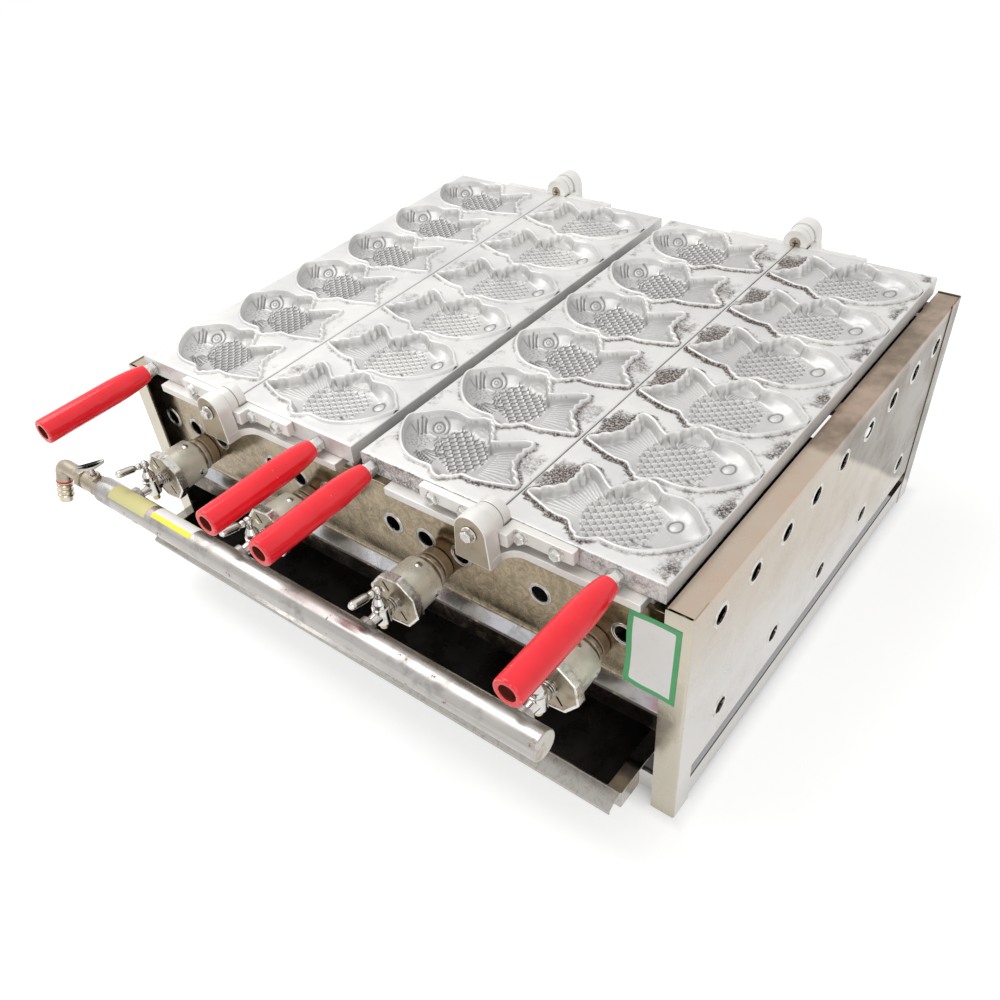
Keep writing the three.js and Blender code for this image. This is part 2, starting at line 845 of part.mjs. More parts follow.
// The rings of points of the spring's wire, round the injector. Its front end is sunk in the cock's tube.
function springRings(front) {
  const radius = injectorRadius + seatGap + springWire;
  return Array.from({ length: springCurls * springSteps + 1 }, (_, i) => {
    const angle = (2 * Math.PI * i) / springSteps;
    const along = front - springSink + (springPitch * i) / springSteps;
    const outward = new THREE.Vector3(Math.cos(angle), 0, Math.sin(angle));
    return Array.from({ length: springSides }, (_, side) => {
      const turn = (2 * Math.PI * side) / springSides;
      const point = outward.clone().multiplyScalar(radius + springWire * Math.cos(turn));
      point.y = along + springWire * Math.sin(turn);
      return point;
    });
  });
}

// The least distance between points of the spring's wire that are half a curl or more apart
function springSelfGap() {
  const rings = springRings(0);
  let least = Infinity;
  rings.forEach((ring, i) =>
    rings.slice(i + springSteps / 2).forEach((other) =>
      ring.forEach((a) => other.forEach((b) => (least = Math.min(least, a.distanceTo(b))))),
    ),
  );
  return least;
}

// The spring: one unbroken wire of open curls
function spring(front) {
  const rings = springRings(front);
  const count = rings.length - 1;
  const places = rings.flat().flatMap((point) => point.toArray());
  const faces = [];
  const ringStart = (i) => i * springSides;
  for (let i = 0; i < count; i += 1) {
    for (let side = 0; side < springSides; side += 1) {
      const next = (side + 1) % springSides;
      const [a, b] = [ringStart(i) + side, ringStart(i) + next];
      const [c, d] = [ringStart(i + 1) + side, ringStart(i + 1) + next];
      faces.push(a, b, c, b, d, c);
    }
  }
  for (let side = 1; side < springSides - 1; side += 1) {
    faces.push(0, side + 1, side);
    faces.push(ringStart(count), ringStart(count) + side, ringStart(count) + side + 1);
  }
  const geometry = new THREE.BufferGeometry();
  geometry.setAttribute("position", new THREE.Float32BufferAttribute(places, 3));
  geometry.setIndex(faces);
  return solidOf(geometry);
}

// Gas cock: an injector towards the mixer and a coned inlet, through an upright plug body with a gland and a
// tap stub below
function gasCock() {
  const tubeRear = shutterFront - springCurls * springPitch - springWire;
  const inletTip = spindleY - inletLength;
  const inline = [
    [0, inletTip],
    [inletTipRadius, inletTip],
    [inletRadius, spindleY],
    [cockTubeRadius, spindleY],
    [cockTubeRadius, tubeRear],
    [injectorRadius, tubeRear],
    [injectorRadius, shutterFront + injectorLength],
    [0, shutterFront + injectorLength],
  ];
  const stemHole = stemRadius + boreGap;
  const glandTop = cockBodyHalf + glandHeight;
  const stemBottom = glandTop - stemSink - boreGap;
  const upright = [
    [0, -cockBodyHalf - stubLength],
    [stubRadius, -cockBodyHalf - stubLength],
    [stubRadius, -cockBodyHalf],
    [cockBodyRadius, -cockBodyHalf],
    [cockBodyRadius, cockBodyHalf],
    [glandRadius, cockBodyHalf],
    [glandRadius, cockBodyHalf + glandCrown],
    [stemHole + boreGap, glandTop],
    [stemHole, glandTop],
    [stemHole, stemBottom],
    [0, stemBottom],
  ];
  return join(
    turned("y", inline, [0, 0, 0], rodSides),
    turned("z", upright, [0, spindleY, 0], rodSides),
    spring(tubeRear),
  );
}

// Lever of a gas cock, round its spindle: a stem, and an arm with a ball, a bead and a long grip, turned
// round its own line and tilted up towards the front
function cockLever() {
  const arm = [
    [0, -ballRadius],
    [ballRadius * ballCapShare, -ballRadius * ballCapShare],
    [ballRadius, 0],
    [leverNeck, beadPlace - beadRadius],
    [beadRadius, beadPlace],
    [leverNeck, beadPlace + beadRadius],
    [leverGrip, leverStart + leverNeck],
    [leverGrip, leverEnd],
    [leverGrip * ballCapShare, leverEnd + leverGrip * ballCapShare],
    [0, leverEnd + leverGrip],
  ];
  const geometry = new THREE.LatheGeometry(
    arm.map(([radius, place]) => new THREE.Vector2(radius, place)),
    holeSides,
  );
  geometry.rotateX(Math.PI - THREE.MathUtils.degToRad(leverTilt)).translate(0, 0, stemRise);
  const stem = rod("z", [stemRadius, stemRadius], [-stemSink, stemRise], [0, 0, 0], rodSides);
  return join(solidOf(geometry), stem);
}

// Gas manifold: a capped pipe with a boss for each cock, bored through
function gasManifold(burnerXs) {
  const tipY = spindleY - inletLength - seatGap;
  const bore = pipeRadius - pipeWall;
  const bosses = burnerXs.map((x) => {
    const ys = [pipeY + pipeRadius - bossSink, tipY];
    return rod("y", [bossRadius, bossRadius], ys, [x, 0, burnerZ], rodSides);
  });
  const bores = burnerXs.map((x) =>
    rod("y", [bossBore, bossBore], [pipeY, tipY + overrun], [x, 0, burnerZ], holeSides),
  );
  const pipe = rod("x", [pipeRadius, pipeRadius], [-pipeLeft, pipeRight], [0, pipeY, burnerZ], wideSides);
  const hollow = [-pipeLeft - overrun, pipeRight - pipeEnd];
  return cut(join(pipe, ...bosses), rod("x", [bore, bore], hollow, [0, pipeY, burnerZ], rodSides), ...bores);
}

// Master cock, from the manifold's end at x = 0 towards -X, bored through
function masterCock() {
  const start = -seatGap;
  const hexEnd = start - masterHexLength;
  const end = start - masterLength;
  const boss = [0, masterBossHeight];
  const whole = join(
    rod("x", [masterHexRadius, masterHexRadius], [hexEnd, start], [0, 0, 0], hexSides),
    rod("x", [masterRadius, masterRadius], [end + masterHexLength, hexEnd + seatGap], [0, 0, 0], rodSides),
    rod("x", [masterHexRadius, masterHexRadius], [end, end + masterHexLength + seatGap], [0, 0, 0], hexSides),
    rod("z", [masterBossRadius, masterBossRadius], boss, [-masterSpindle, 0, 0], rodSides),
  );
  const stemHole = [masterBossHeight - stemSink - boreGap, masterBossHeight + overrun];
  return cut(
    whole,
    rod("x", [masterBore, masterBore], [end - overrun, start + overrun], [0, 0, 0], holeSides),
    rod("z", [stemRadius + boreGap, stemRadius + boreGap], stemHole, [-masterSpindle, 0, 0], rodSides),
  );
}

// Wing lever of the master cock, round its spindle: a waisted bar on a stem
function masterLever() {
  const half = wingLength / 2;
  const waist = half * wingWaistShare;
  const top = wingRise + wingHeight;
  const outline = [
    [-half, top - wingDip],
    [-waist, wingRise],
    [waist, wingRise],
    [half, top - wingDip],
    [half, top],
    [waist, top - wingDip],
    [-waist, top - wingDip],
    [-half, top],
  ];
  return join(
    drawn("y", outline, [-wingThick / 2, wingThick / 2]),
    rod("z", [stemRadius, stemRadius], [-stemSink, wingRise + seatGap], [0, 0, 0], rodSides),
  );
}

// Hose elbow, from the master cock's end at x = 0: along -X, then down with a lean to the front, with barbs
function hoseElbow() {
  const corner = -elbowReach;
  const lean = (geometry) => {
    geometry.rotateX(-Math.PI / 2 - THREE.MathUtils.degToRad(elbowTilt));
    return solidOf(geometry.translate(corner, 0, 0));
  };
  const barbMiddle = elbowDrop - barbEnd - (barbCount / 2) * barbPitch;
  const barbs = rowOf(barbCount, barbPitch, barbMiddle).flatMap((place) => [
    [elbowRadius, place - barbThick],
    [barbRadius, place],
    [elbowRadius - barbNeck, place + barbThick / 2],
  ]);
  const leg = [
    [0, -elbowRadius],
    [elbowRadius * ballCapShare, -elbowRadius * ballCapShare],
    [elbowRadius, 0],
    ...barbs,
    [elbowRadius - barbNeck, elbowDrop],
    [0, elbowDrop],
  ];
  const legGeometry = new THREE.LatheGeometry(
    leg.map(([radius, place]) => new THREE.Vector2(radius, place)),
    elbowSides,
  );
  const boreGeometry = new THREE.CylinderGeometry(elbowBore, elbowBore, elbowDrop + overrun, holeSides);
  boreGeometry.translate(0, (elbowDrop + overrun) / 2, 0);
  return cut(
    join(rod("x", [elbowRadius, elbowRadius], [corner, -seatGap], [0, 0, 0], elbowSides), lean(legGeometry)),
    rod("x", [elbowBore, elbowBore], [corner, overrun], [0, 0, 0], holeSides),
    lean(boreGeometry),
  );
}

// The whole part, with the middle of its footprint at the origin
const group = new THREE.Group();
const left = -pipeLeft - seatGap - masterLength - elbowReach - barbRadius;
const right = frameHalf;
const front = frontFace - handleReach;
const rear = plateDepth / 2 + pedestalFar + seatGap + pinHeadThick;
const part = addGroup(group, -(left + right) / 2, -(front + rear) / 2, 0);
const burnerXs = burnerShares.map((share) => share * frameHalf);

for (const [name, side] of [["left", -1], ["right", 1]]) {
  addMesh(part, `side_panel_${name}`, sidePanel(side), stainless);
}
addMesh(part, "front_panel", frontPanel(burnerXs), stainless);
addMesh(part, "rear_panel", rearPanel(), stainless);
addMesh(part, "base_rail_front", baseRail(-1), stainless);
addMesh(part, "base_rail_rear", baseRail(1), stainless);
addMesh(part, "burner_rest", burnerRest(), stainless);
addMesh(part, "drip_tray", dripTray(), blackSteel);

for (const [unit, middle] of [["left", -unitX], ["right", unitX]]) {
  const pair = addGroup(part, middle, 0, 0);
  for (const [place, end] of [["front", -1], ["rear", 1]]) {
    addMesh(pair, `${unit}_unit_bearer_${place}`, bearer(end), castAluminium);
    addMesh(pair, `${unit}_unit_hinge_pin_${place}`, hingePin(end), zincPlated);
  }
  for (const [name, side] of [["left", -1], ["right", 1]]) {
    const label = `${unit}_unit_${name}`;
    const inset = side < 0 ? handleInsetLeft : handleInsetRight;
    const handleX = side * (hingeGap / 2 + plateWidth - inset);
    addMesh(pair, `${label}_plate`, mouldPlate(side), castAluminium);
    addMesh(pair, `${label}_strap_front`, hingeStrap(side, -1), castAluminium);
    addMesh(pair, `${label}_strap_rear`, hingeStrap(side, 1), castAluminium);
    addMesh(pair, `${label}_handle_rod`, handleRod(handleX), zincPlated);
    addMesh(pair, `${label}_grip`, handleGrip(handleX), redGrip);
  }
}

burnerXs.forEach((x, i) => {
  const train = addGroup(part, x, 0, burnerZ);
  addMesh(train, `burner_${i + 1}`, burner(), castIron);
  addMesh(train, `mixer_${i + 1}`, mixer(), galvanised);
  addMesh(train, `air_shutter_${i + 1}`, airShutter(), galvanised);
  addMesh(train, `gas_cock_${i + 1}`, gasCock(), chromed);
  const spindle = addGroup(part, x, spindleY, cockTop);
  addMesh(spindle, `cock_lever_${i + 1}`, cockLever(), chromed);
});

addMesh(part, "gas_manifold", gasManifold(burnerXs), paintedPipe);
const master = addGroup(part, -pipeLeft, pipeY, burnerZ);
addMesh(master, "master_cock", masterCock(), nickelled);
const wing = addGroup(master, -masterSpindle, 0, masterBossHeight);
wing.rotation.z = THREE.MathUtils.degToRad(wingAngle);
addMesh(wing, "master_lever", masterLever(), chromed);
const hose = addGroup(master, -seatGap - masterLength, 0, 0);
addMesh(hose, "hose_elbow", hoseElbow(), nickelled);

console.log(`The springs' wire stays ${springSelfGap().toFixed(2)} mm clear of itself`);

export default group;
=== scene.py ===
"""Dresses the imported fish-cake griddle: formed sheet metal, cast mould plates, gas fittings, light and camera."""

import logging
import math
from dataclasses import dataclass, field
from enum import Enum
from typing import Callable, Iterable, Sequence

import bmesh
import bpy
import numpy as np
from mathutils import Matrix, Vector
from mathutils.geometry import delaunay_2d_cdt


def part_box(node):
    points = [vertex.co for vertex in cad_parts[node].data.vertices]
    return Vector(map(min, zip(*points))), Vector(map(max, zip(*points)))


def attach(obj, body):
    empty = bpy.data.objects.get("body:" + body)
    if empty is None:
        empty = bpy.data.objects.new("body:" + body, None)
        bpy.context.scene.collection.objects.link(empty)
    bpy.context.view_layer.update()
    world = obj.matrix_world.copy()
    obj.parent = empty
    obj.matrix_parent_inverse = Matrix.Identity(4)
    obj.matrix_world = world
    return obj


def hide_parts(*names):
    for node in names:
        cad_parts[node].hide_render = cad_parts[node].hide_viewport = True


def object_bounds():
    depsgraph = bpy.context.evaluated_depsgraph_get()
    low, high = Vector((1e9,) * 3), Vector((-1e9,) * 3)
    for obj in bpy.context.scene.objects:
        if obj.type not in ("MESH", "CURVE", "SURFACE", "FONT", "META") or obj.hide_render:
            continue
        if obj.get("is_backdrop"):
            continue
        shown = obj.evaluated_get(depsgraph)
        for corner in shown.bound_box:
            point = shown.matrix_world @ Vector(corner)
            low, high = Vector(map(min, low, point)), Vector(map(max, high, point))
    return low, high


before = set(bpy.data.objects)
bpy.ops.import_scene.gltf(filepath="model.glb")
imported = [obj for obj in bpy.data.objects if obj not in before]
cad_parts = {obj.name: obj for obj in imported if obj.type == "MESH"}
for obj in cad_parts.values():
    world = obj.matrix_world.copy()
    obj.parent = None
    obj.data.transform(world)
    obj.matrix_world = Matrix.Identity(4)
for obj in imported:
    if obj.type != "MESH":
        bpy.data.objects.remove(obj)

log = logging.getLogger("griddle")
logging.basicConfig(level=logging.INFO, format="%(message)s")

METRES = 0.001
DRAWING_SHIFT = Vector((23.8, 52.05, 0.0))
MARK = "mark"

Flat = tuple[float, float]
Rings = Sequence[Sequence[Vector]]
Mapper = Callable[[float, float], tuple[Vector, Vector]]
Triple = tuple[float, float, float]


class Axis(Enum):
    """A direction of the drawing frame, with the two directions square to it."""

    X = ((1, 0, 0), (0, 1, 0), (0, 0, 1))
    Y = ((0, 1, 0), (0, 0, 1), (1, 0, 0))
    Z = ((0, 0, 1), (1, 0, 0), (0, 1, 0))

    def along(self) -> Vector:
        """Returns the direction itself."""
        return Vector(self.value[0])

    def place(self, first: float, second: float, along: float) -> Vector:
        """Returns the point with these distances along the two square directions and along the axis.

        Args:
            first: Distance along the first square direction.
            second: Distance along the second square direction.
            along: Distance along the axis.

        Returns:
            The point in the drawing frame.
        """
        w, u, v = (Vector(part) for part in self.value)
        return u * first + v * second + w * along


class Side(Enum):
    """Left or right plate of a pair, or side of the frame."""

    LEFT = -1
    RIGHT = 1


class End(Enum):
    """Front or rear end of the griddle."""

    FRONT = -1
    REAR = 1


def soften(line: Sequence[Flat], radius: float, closed: bool = False, steps: int = 3) -> list[Flat]:
    """Rounds the corners of a flat line.

    Args:
        line: Corner points.
        radius: Length taken from each side of a corner, at most.
        closed: Whether the last point joins the first.
        steps: Segments in each rounded corner.

    Returns:
        The rounded line.
    """
    points = [Vector(p) for p in line]
    count = len(points)
    made: list[Flat] = []
    for i, corner in enumerate(points):
        if not closed and i in (0, count - 1):
            made.append(tuple(corner))
            continue
        back = points[i - 1] - corner
        ahead = points[(i + 1) % count] - corner
        take = min(radius, back.length * 0.45, ahead.length * 0.45)
        if take < 1e-4 or back.angle(ahead, math.pi) > math.radians(176):
            made.append(tuple(corner))
            continue
        start = corner + back.normalized() * take
        stop = corner + ahead.normalized() * take
        for k in range(steps + 1):
            t = k / steps
            made.append(tuple(start * (1 - t) ** 2 + corner * (2 * t * (1 - t)) + stop * t**2))
    return made


def grow(outline: Sequence[Flat], distance: float) -> list[Flat]:
    """Moves a closed counter-clockwise outline outwards, or inwards for a negative distance.

    Args:
        outline: Corner points.
        distance: How far each side moves.

    Returns:
        The moved outline, corner for corner.
    """
    points = [Vector(p) for p in outline]
    count = len(points)
    made = []
    for i, point in enumerate(points):
        before = (point - points[i - 1]).normalized()
        after = (points[(i + 1) % count] - point).normalized()
        first = Vector((before.y, -before.x))
        second = Vector((after.y, -after.x))
        middle = first + second
        made.append(tuple(point + middle * (distance / max(0.35, 1 + first.dot(second)))))
    return made


def round_outline(radius: float, steps: int, turn: float = 0.0, centre: Flat = (0, 0)) -> list[Flat]:
    """Returns a regular outline of so many corners round a centre, turned by so many degrees."""
    angles = [math.radians(turn) + math.tau * k / steps for k in range(steps)]
    return [(centre[0] + radius * math.cos(a), centre[1] + radius * math.sin(a)) for a in angles]


def inside(points: np.ndarray, outline: Sequence[Flat]) -> np.ndarray:
    """Tells which points lie inside an outline.

    Args:
        points: Array of N by 2.
        outline: Closed outline.

    Returns:
        Array of N truth values.
    """
    x, y = points[:, 0], points[:, 1]
    found = np.zeros(len(points), bool)
    ring = list(outline)
    for (x0, y0), (x1, y1) in zip(ring, ring[1:] + ring[:1]):
        crosses = (y0 > y) != (y1 > y)
        slope = (x1 - x0) / (y1 - y0) if y1 != y0 else 0.0
        found ^= crosses & (x < x0 + (y - y0) * slope)
    return found


def settle(holder: bpy.types.Object) -> bpy.types.Mesh:
    """Applies an object's modifiers and removes the object.

    Args:
        holder: Object that isn't in the scene yet.

    Returns:
        The plain mesh that comes out.
    """
    bpy.context.scene.collection.objects.link(holder)
    bpy.context.view_layer.update()
    made = bpy.data.meshes.new_from_object(holder.evaluated_get(bpy.context.evaluated_depsgraph_get()))
    bpy.data.objects.remove(holder)
    return made


def metres(points: Iterable[Vector]) -> list[Vector]:
    """Returns points of the drawing frame in metres of the part's frame."""
    return [(p + DRAWING_SHIFT) * METRES for p in points]


def finish_slots(mesh: bpy.types.Mesh) -> np.ndarray:
    """Returns the index of each face's finish."""
    kept = np.zeros(len(mesh.polygons), np.int32)
    mesh.polygons.foreach_get("material_index", kept)
    return kept


@dataclass
class Cut:
    """Flat sheet pattern cut into triangles: its outline, the holes in it and the lines that it creases on."""

    outline: list[Flat]
    holes: list[list[Flat]] = field(default_factory=list)
    creases: list[list[Flat]] = field(default_factory=list)

    def triangles(self) -> tuple[list[Vector], list[tuple[int, ...]]]:
        """Cuts the pattern.

        Returns:
            Its points and its triangles, counter-clockwise.
        """
        verts: list[Vector] = []
        edges: list[tuple[int, int]] = []
        for ring in [self.outline, *self.holes]:
            start = len(verts)
            verts += [Vector(p) for p in ring]
            edges += [(start + k, start + (k + 1) % len(ring)) for k in range(len(ring))]
        for line in self.creases:
            start = len(verts)
            verts += [Vector(p) for p in line]
            edges += [(start + k, start + k + 1) for k in range(len(line) - 1)]
        points, _, faces, _, _, _ = delaunay_2d_cdt(verts, edges, [], 0, 1e-5)
        middles = np.array([[sum(points[i][k] for i in f) / len(f) for k in (0, 1)] for f in faces])
        keep = inside(middles, self.outline)
        for hole in self.holes:
            keep &= ~inside(middles, hole)
        kept = [tuple(f) for f, yes in zip(faces, keep) if yes]
        used = sorted({i for f in kept for i in f})
        place = {old: new for new, old in enumerate(used)}
        return [points[i] for i in used], [tuple(place[i] for i in f) for f in kept]


@dataclass
class FoldLine:
    """A folded line with rounded corners, measured along its own length. Its outer face is on its right."""

    corners: list[Flat]
    radius: float = 2.0
    steps: int = 5

    def __post_init__(self) -> None:
        """Rounds the corners and measures the line."""
        self.points = [Vector(p) for p in soften(self.corners, self.radius, steps=self.steps)]
        self.lengths = [0.0]
        for a, b in zip(self.points, self.points[1:]):
            self.lengths.append(self.lengths[-1] + (b - a).length)
        self.normals = []
        for i in range(len(self.points)):
            before = self.points[max(i - 1, 0)]
            after = self.points[min(i + 1, len(self.points) - 1)]
            along = (after - before).normalized()
            self.normals.append(Vector((along.y, -along.x)))

    def at(self, length: float) -> tuple[Vector, Vector]:
        """Finds a place on the line.

        Args:
            length: Distance along the line.

        Returns:
            The point and the outward normal there.
        """
        i = int(np.clip(np.searchsorted(self.lengths, length) - 1, 0, len(self.lengths) - 2))
        share = (length - self.lengths[i]) / max(1e-9, self.lengths[i + 1] - self.lengths[i])
        share = min(1.0, max(0.0, share))
        point = self.points[i].lerp(self.points[i + 1], share)
        return point, self.normals[i].lerp(self.normals[i + 1], share).normalized()

    def length_at(self, point: Flat) -> float:
        """Returns the distance along the line of the place nearest to a point."""
        target = Vector(point)
        best = (1e9, 0.0)
        for i, (a, b) in enumerate(zip(self.points, self.points[1:])):
            run = b - a
            share = min(1.0, max(0.0, (target - a).dot(run) / max(1e-9, run.length_squared)))
            best = min(best, ((a + run * share - target).length, self.lengths[i] + share * run.length))
        return best[1]


@dataclass
class Draft:
    """A piece while it is shaped: points in millimetres of the drawing frame, faces, finishes and marks."""

    points: list[Vector] = field(default_factory=list)
    faces: list[tuple[int, ...]] = field(default_factory=list)
    slots: list[int] = field(default_factory=list)
    marks: list[float] = field(default_factory=list)

    def add(self, points: Iterable[Vector], faces: Iterable[Sequence[int]], slot: int = 0) -> int:
        """Adds points and the faces on them.

        Args:
            points: New points.
            faces: Faces, counted from the first new point.
            slot: Index of the finish.

        Returns:
            Index of the first new point.
        """
        start = len(self.points)
        self.points += [Vector(p) for p in points]
        self.marks += [0.0] * (len(self.points) - start)
        for face in faces:
            self.faces.append(tuple(start + i for i in face))
            self.slots.append(slot)
        return start

    def loft(self, rings: Rings, caps: tuple[bool, bool] = (True, True), slot: int = 0) -> None:
        """Joins rings of equal count one after the other.

        Args:
            rings: Closed rings of points.
            caps: Whether the first and the last ring are filled.
            slot: Index of the finish.
        """
        count = len(rings[0])
        faces: list[tuple[int, ...]] = []
        for i in range(len(rings) - 1):
            for k in range(count):
                n = (k + 1) % count
                faces.append((i * count + k, i * count + n, (i + 1) * count + n, (i + 1) * count + k))
        if caps[0]:
            faces.append(tuple(reversed(range(count))))
        if caps[1]:
            last = (len(rings) - 1) * count
            faces.append(tuple(range(last, last + count)))
        self.add([p for ring in rings for p in ring], faces, slot)

    def turn(self, profile: Sequence[Flat], axis: Axis, centre: Vector, steps: int = 40, slot: int = 0,
             tilt: Matrix | None = None) -> None:
        """Turns a profile of radius and place along an axis.

        Args:
            profile: Radius and place pairs.
            axis: Axis of the turning.
            centre: Point on the axis from which places count.
            steps: Points in each ring.
            slot: Index of the finish.
            tilt: Rotation about the centre after turning.
        """
        rings = []
        for radius, place in profile:
            ring = [axis.place(max(radius, 1e-6) * math.cos(a), max(radius, 1e-6) * math.sin(a), place)
                    for a in (math.tau * k / steps for k in range(steps))]
            if tilt is not None:
                ring = [tilt @ p for p in ring]
            rings.append([p + centre for p in ring])
        ring_shaped = profile[0] == profile[-1]
        self.loft(rings, tuple(radius >= 1e-3 and not ring_shaped for radius, _ in (profile[0], profile[-1])), slot)

    def block(self, outline: Sequence[Flat], axis: Axis, limits: Flat, bevel: float = 0.6, slot: int = 0) -> None:
        """Draws a counter-clockwise outline out along an axis, with bevelled ends.

        Args:
            outline: Closed outline in the two directions square to the axis.
            axis: Direction of drawing out.
            limits: Where it starts and ends along the axis.
            bevel: Size of the bevel.
            slot: Index of the finish.
        """
        low, high = limits
        slim = grow(outline, -bevel)
        half = grow(outline, -bevel * 0.3)
        levels = [(slim, low), (half, low + bevel * 0.3), (outline, low + bevel), (outline, high - bevel),
                  (half, high - bevel * 0.3), (slim, high)]
        self.loft([[axis.place(u, v, w) for u, v in ring] for ring, w in levels], slot=slot)

    def box(self, xs: Flat, ys: Flat, zs: Flat, bevel: float = 0.6, slot: int = 0) -> None:
        """Adds a box with rounded edges between limits along X, Y and Z."""
        outline = [(xs[0], ys[0]), (xs[1], ys[0]), (xs[1], ys[1]), (xs[0], ys[1])]
        self.block(soften(outline, bevel * 1.6, closed=True), Axis.Z, zs, bevel, slot)

    def shell(self, cut: Cut, mapper: Mapper, thick: float, back: int = 0) -> None:
        """Bends a cut pattern in space and gives it a wall.

        Args:
            cut: The flat pattern.
            mapper: Gives the outer point and normal of a place on the pattern.
            thick: Thickness of the wall, behind the outer face.
            back: Index of the inner face's finish.
        """
        flat, faces = cut.triangles()
        placed = [mapper(p.x, p.y) for p in flat]
        outer = [point for point, _ in placed]
        inner = [point - normal * thick for point, normal in placed]
        count = len(flat)
        first = faces[0]
        a, b, c = (outer[i] for i in first[:3])
        upright = (b - a).cross(c - a).dot(placed[first[0]][1]) > 0
        skins = faces if upright else [tuple(reversed(f)) for f in faces]
        sides: dict[tuple[int, int], bool] = {}
        for face in skins:
            for i, j in zip(face, face[1:] + face[:1]):
                sides[(i, j)] = True
        rims = [(j, i, i + count, j + count) for i, j in sides if (j, i) not in sides]
        backs = [tuple(i + count for i in reversed(f)) for f in skins]
        start = self.add(outer + inner, [*skins, *rims])
        self.faces += [tuple(start + i for i in face) for face in backs]
        self.slots += [back] * len(backs)

    def strip(self, fold: FoldLine, half: float, thick: float, holes: Sequence[list[Flat]] = (),
              back: int = 0) -> None:
        """Bends a strip of sheet that runs along X, the same length to both sides.

        Args:
            fold: Fold line in Y and Z.
            half: Half the strip's length.
            thick: Thickness of the sheet.
            holes: Holes in it, in X and in distance along the fold line.
            back: Index of the inner face's finish.
        """

        def mapper(u: float, v: float) -> tuple[Vector, Vector]:
            """Places the pattern in space."""
            point, normal = fold.at(v)
            return Vector((u, point.x, point.y)), Vector((0, normal.x, normal.y))

        whole = fold.lengths[-1]
        outline = [(-half, 0.0), (half, 0.0), (half, whole), (-half, whole)]
        creases = [[(-half, v), (half, v)] for v in fold.lengths[1:-1]]
        self.shell(Cut(outline, list(holes), creases), mapper, thick, back)

    def wall(self, fold: FoldLine, zs: Flat, thick: float, mirror: int = 1, corner: float = 0.0) -> None:
        """Bends an upright wall of sheet along a line in X and Y.

        Args:
            fold: Fold line.
            zs: Its lower and upper edge.
            thick: Thickness of the sheet.
            mirror: Factor on X, 1 or -1.
            corner: Rounding of its corners.
        """

        def mapper(u: float, v: float) -> tuple[Vector, Vector]:
            """Places the pattern in space."""
            point, normal = fold.at(u)
            return Vector((mirror * point.x, point.y, v)), Vector((mirror * normal.x, normal.y, 0))

        low, high = zs
        whole = fold.lengths[-1]
        outline = [(0.0, low), (whole, low), (whole, high), (0.0, high)]
        if corner:
            outline = soften(outline, corner, closed=True)
        creases = [[(u, low), (u, high)] for u in fold.lengths[1:-1]]
        self.shell(Cut(outline, [], creases), mapper, thick)

    def mesh(self, name: str, angle: float = 32.0, merge: float = 0.002) -> bpy.types.Mesh:
        """Makes the mesh in metres of the part's frame.

        Args:
            name: Name of the mesh.
            angle: Edges sharper than this many degrees are shaded sharp.
            merge: Distance in millimetres below which points merge.

        Returns:
            The mesh.
        """
        mesh = bpy.data.meshes.new(name)
        mesh.from_pydata(metres(self.points), [], self.faces)
        mesh.polygons.foreach_set("material_index", self.slots)
        attribute = mesh.attributes.new(MARK, "FLOAT", "POINT")
        attribute.data.foreach_set("value", self.marks)
        work = bmesh.new()
        work.from_mesh(mesh)
        bmesh.ops.remove_doubles(work, verts=work.verts, dist=merge * METRES)
        bmesh.ops.recalc_face_normals(work, faces=work.faces)
        work.to_mesh(mesh)
        work.free()
        mesh.shade_smooth()
        mesh.set_sharp_from_angle(angle=math.radians(angle))
        mesh.update()
        holder = bpy.data.objects.new(name, mesh)
        weigh = holder.modifiers.new("weigh", "WEIGHTED_NORMAL")
        weigh.mode = "FACE_AREA"
        weigh.weight = 100
        weigh.keep_sharp = True
        made = settle(holder)
        made.polygons.foreach_set("material_index", finish_slots(mesh))
        return made


class Nodes:
    """Helper that fills a node tree."""

    def __init__(self, tree: bpy.types.NodeTree) -> None:
        """Clears the tree."""
        self.tree = tree
        tree.nodes.clear()

    def node(self, kind: str, inputs: dict[int | str, object] | None = None, **settings: object) -> bpy.types.Node:
        """Adds a node.

        Args:
            kind: Node type.
            inputs: Sockets or values for its inputs, by name or number.
            settings: Its properties.

        Returns:
            The node.
        """
        made = self.tree.nodes.new(kind)
        for name, value in settings.items():
            setattr(made, name, value)
        for key, value in (inputs or {}).items():
            self.feed(made.inputs[key], value)
        return made

    def link(self, source: bpy.types.NodeSocket, target: bpy.types.NodeSocket) -> None:
        """Joins two sockets."""
        self.tree.links.new(source, target)

    def feed(self, target: bpy.types.NodeSocket, value: object) -> None:
        """Links a socket, or sets a plain value."""
        if isinstance(value, bpy.types.NodeSocket):
            self.link(value, target)
        else:
            target.default_value = value

    def math(self, kind: str, first: object, second: object = 0.0) -> bpy.types.NodeSocket:
        """Returns a sum, product or other result of two values."""
        return self.node("ShaderNodeMath", {0: first, 1: second}, operation=kind).outputs[0]


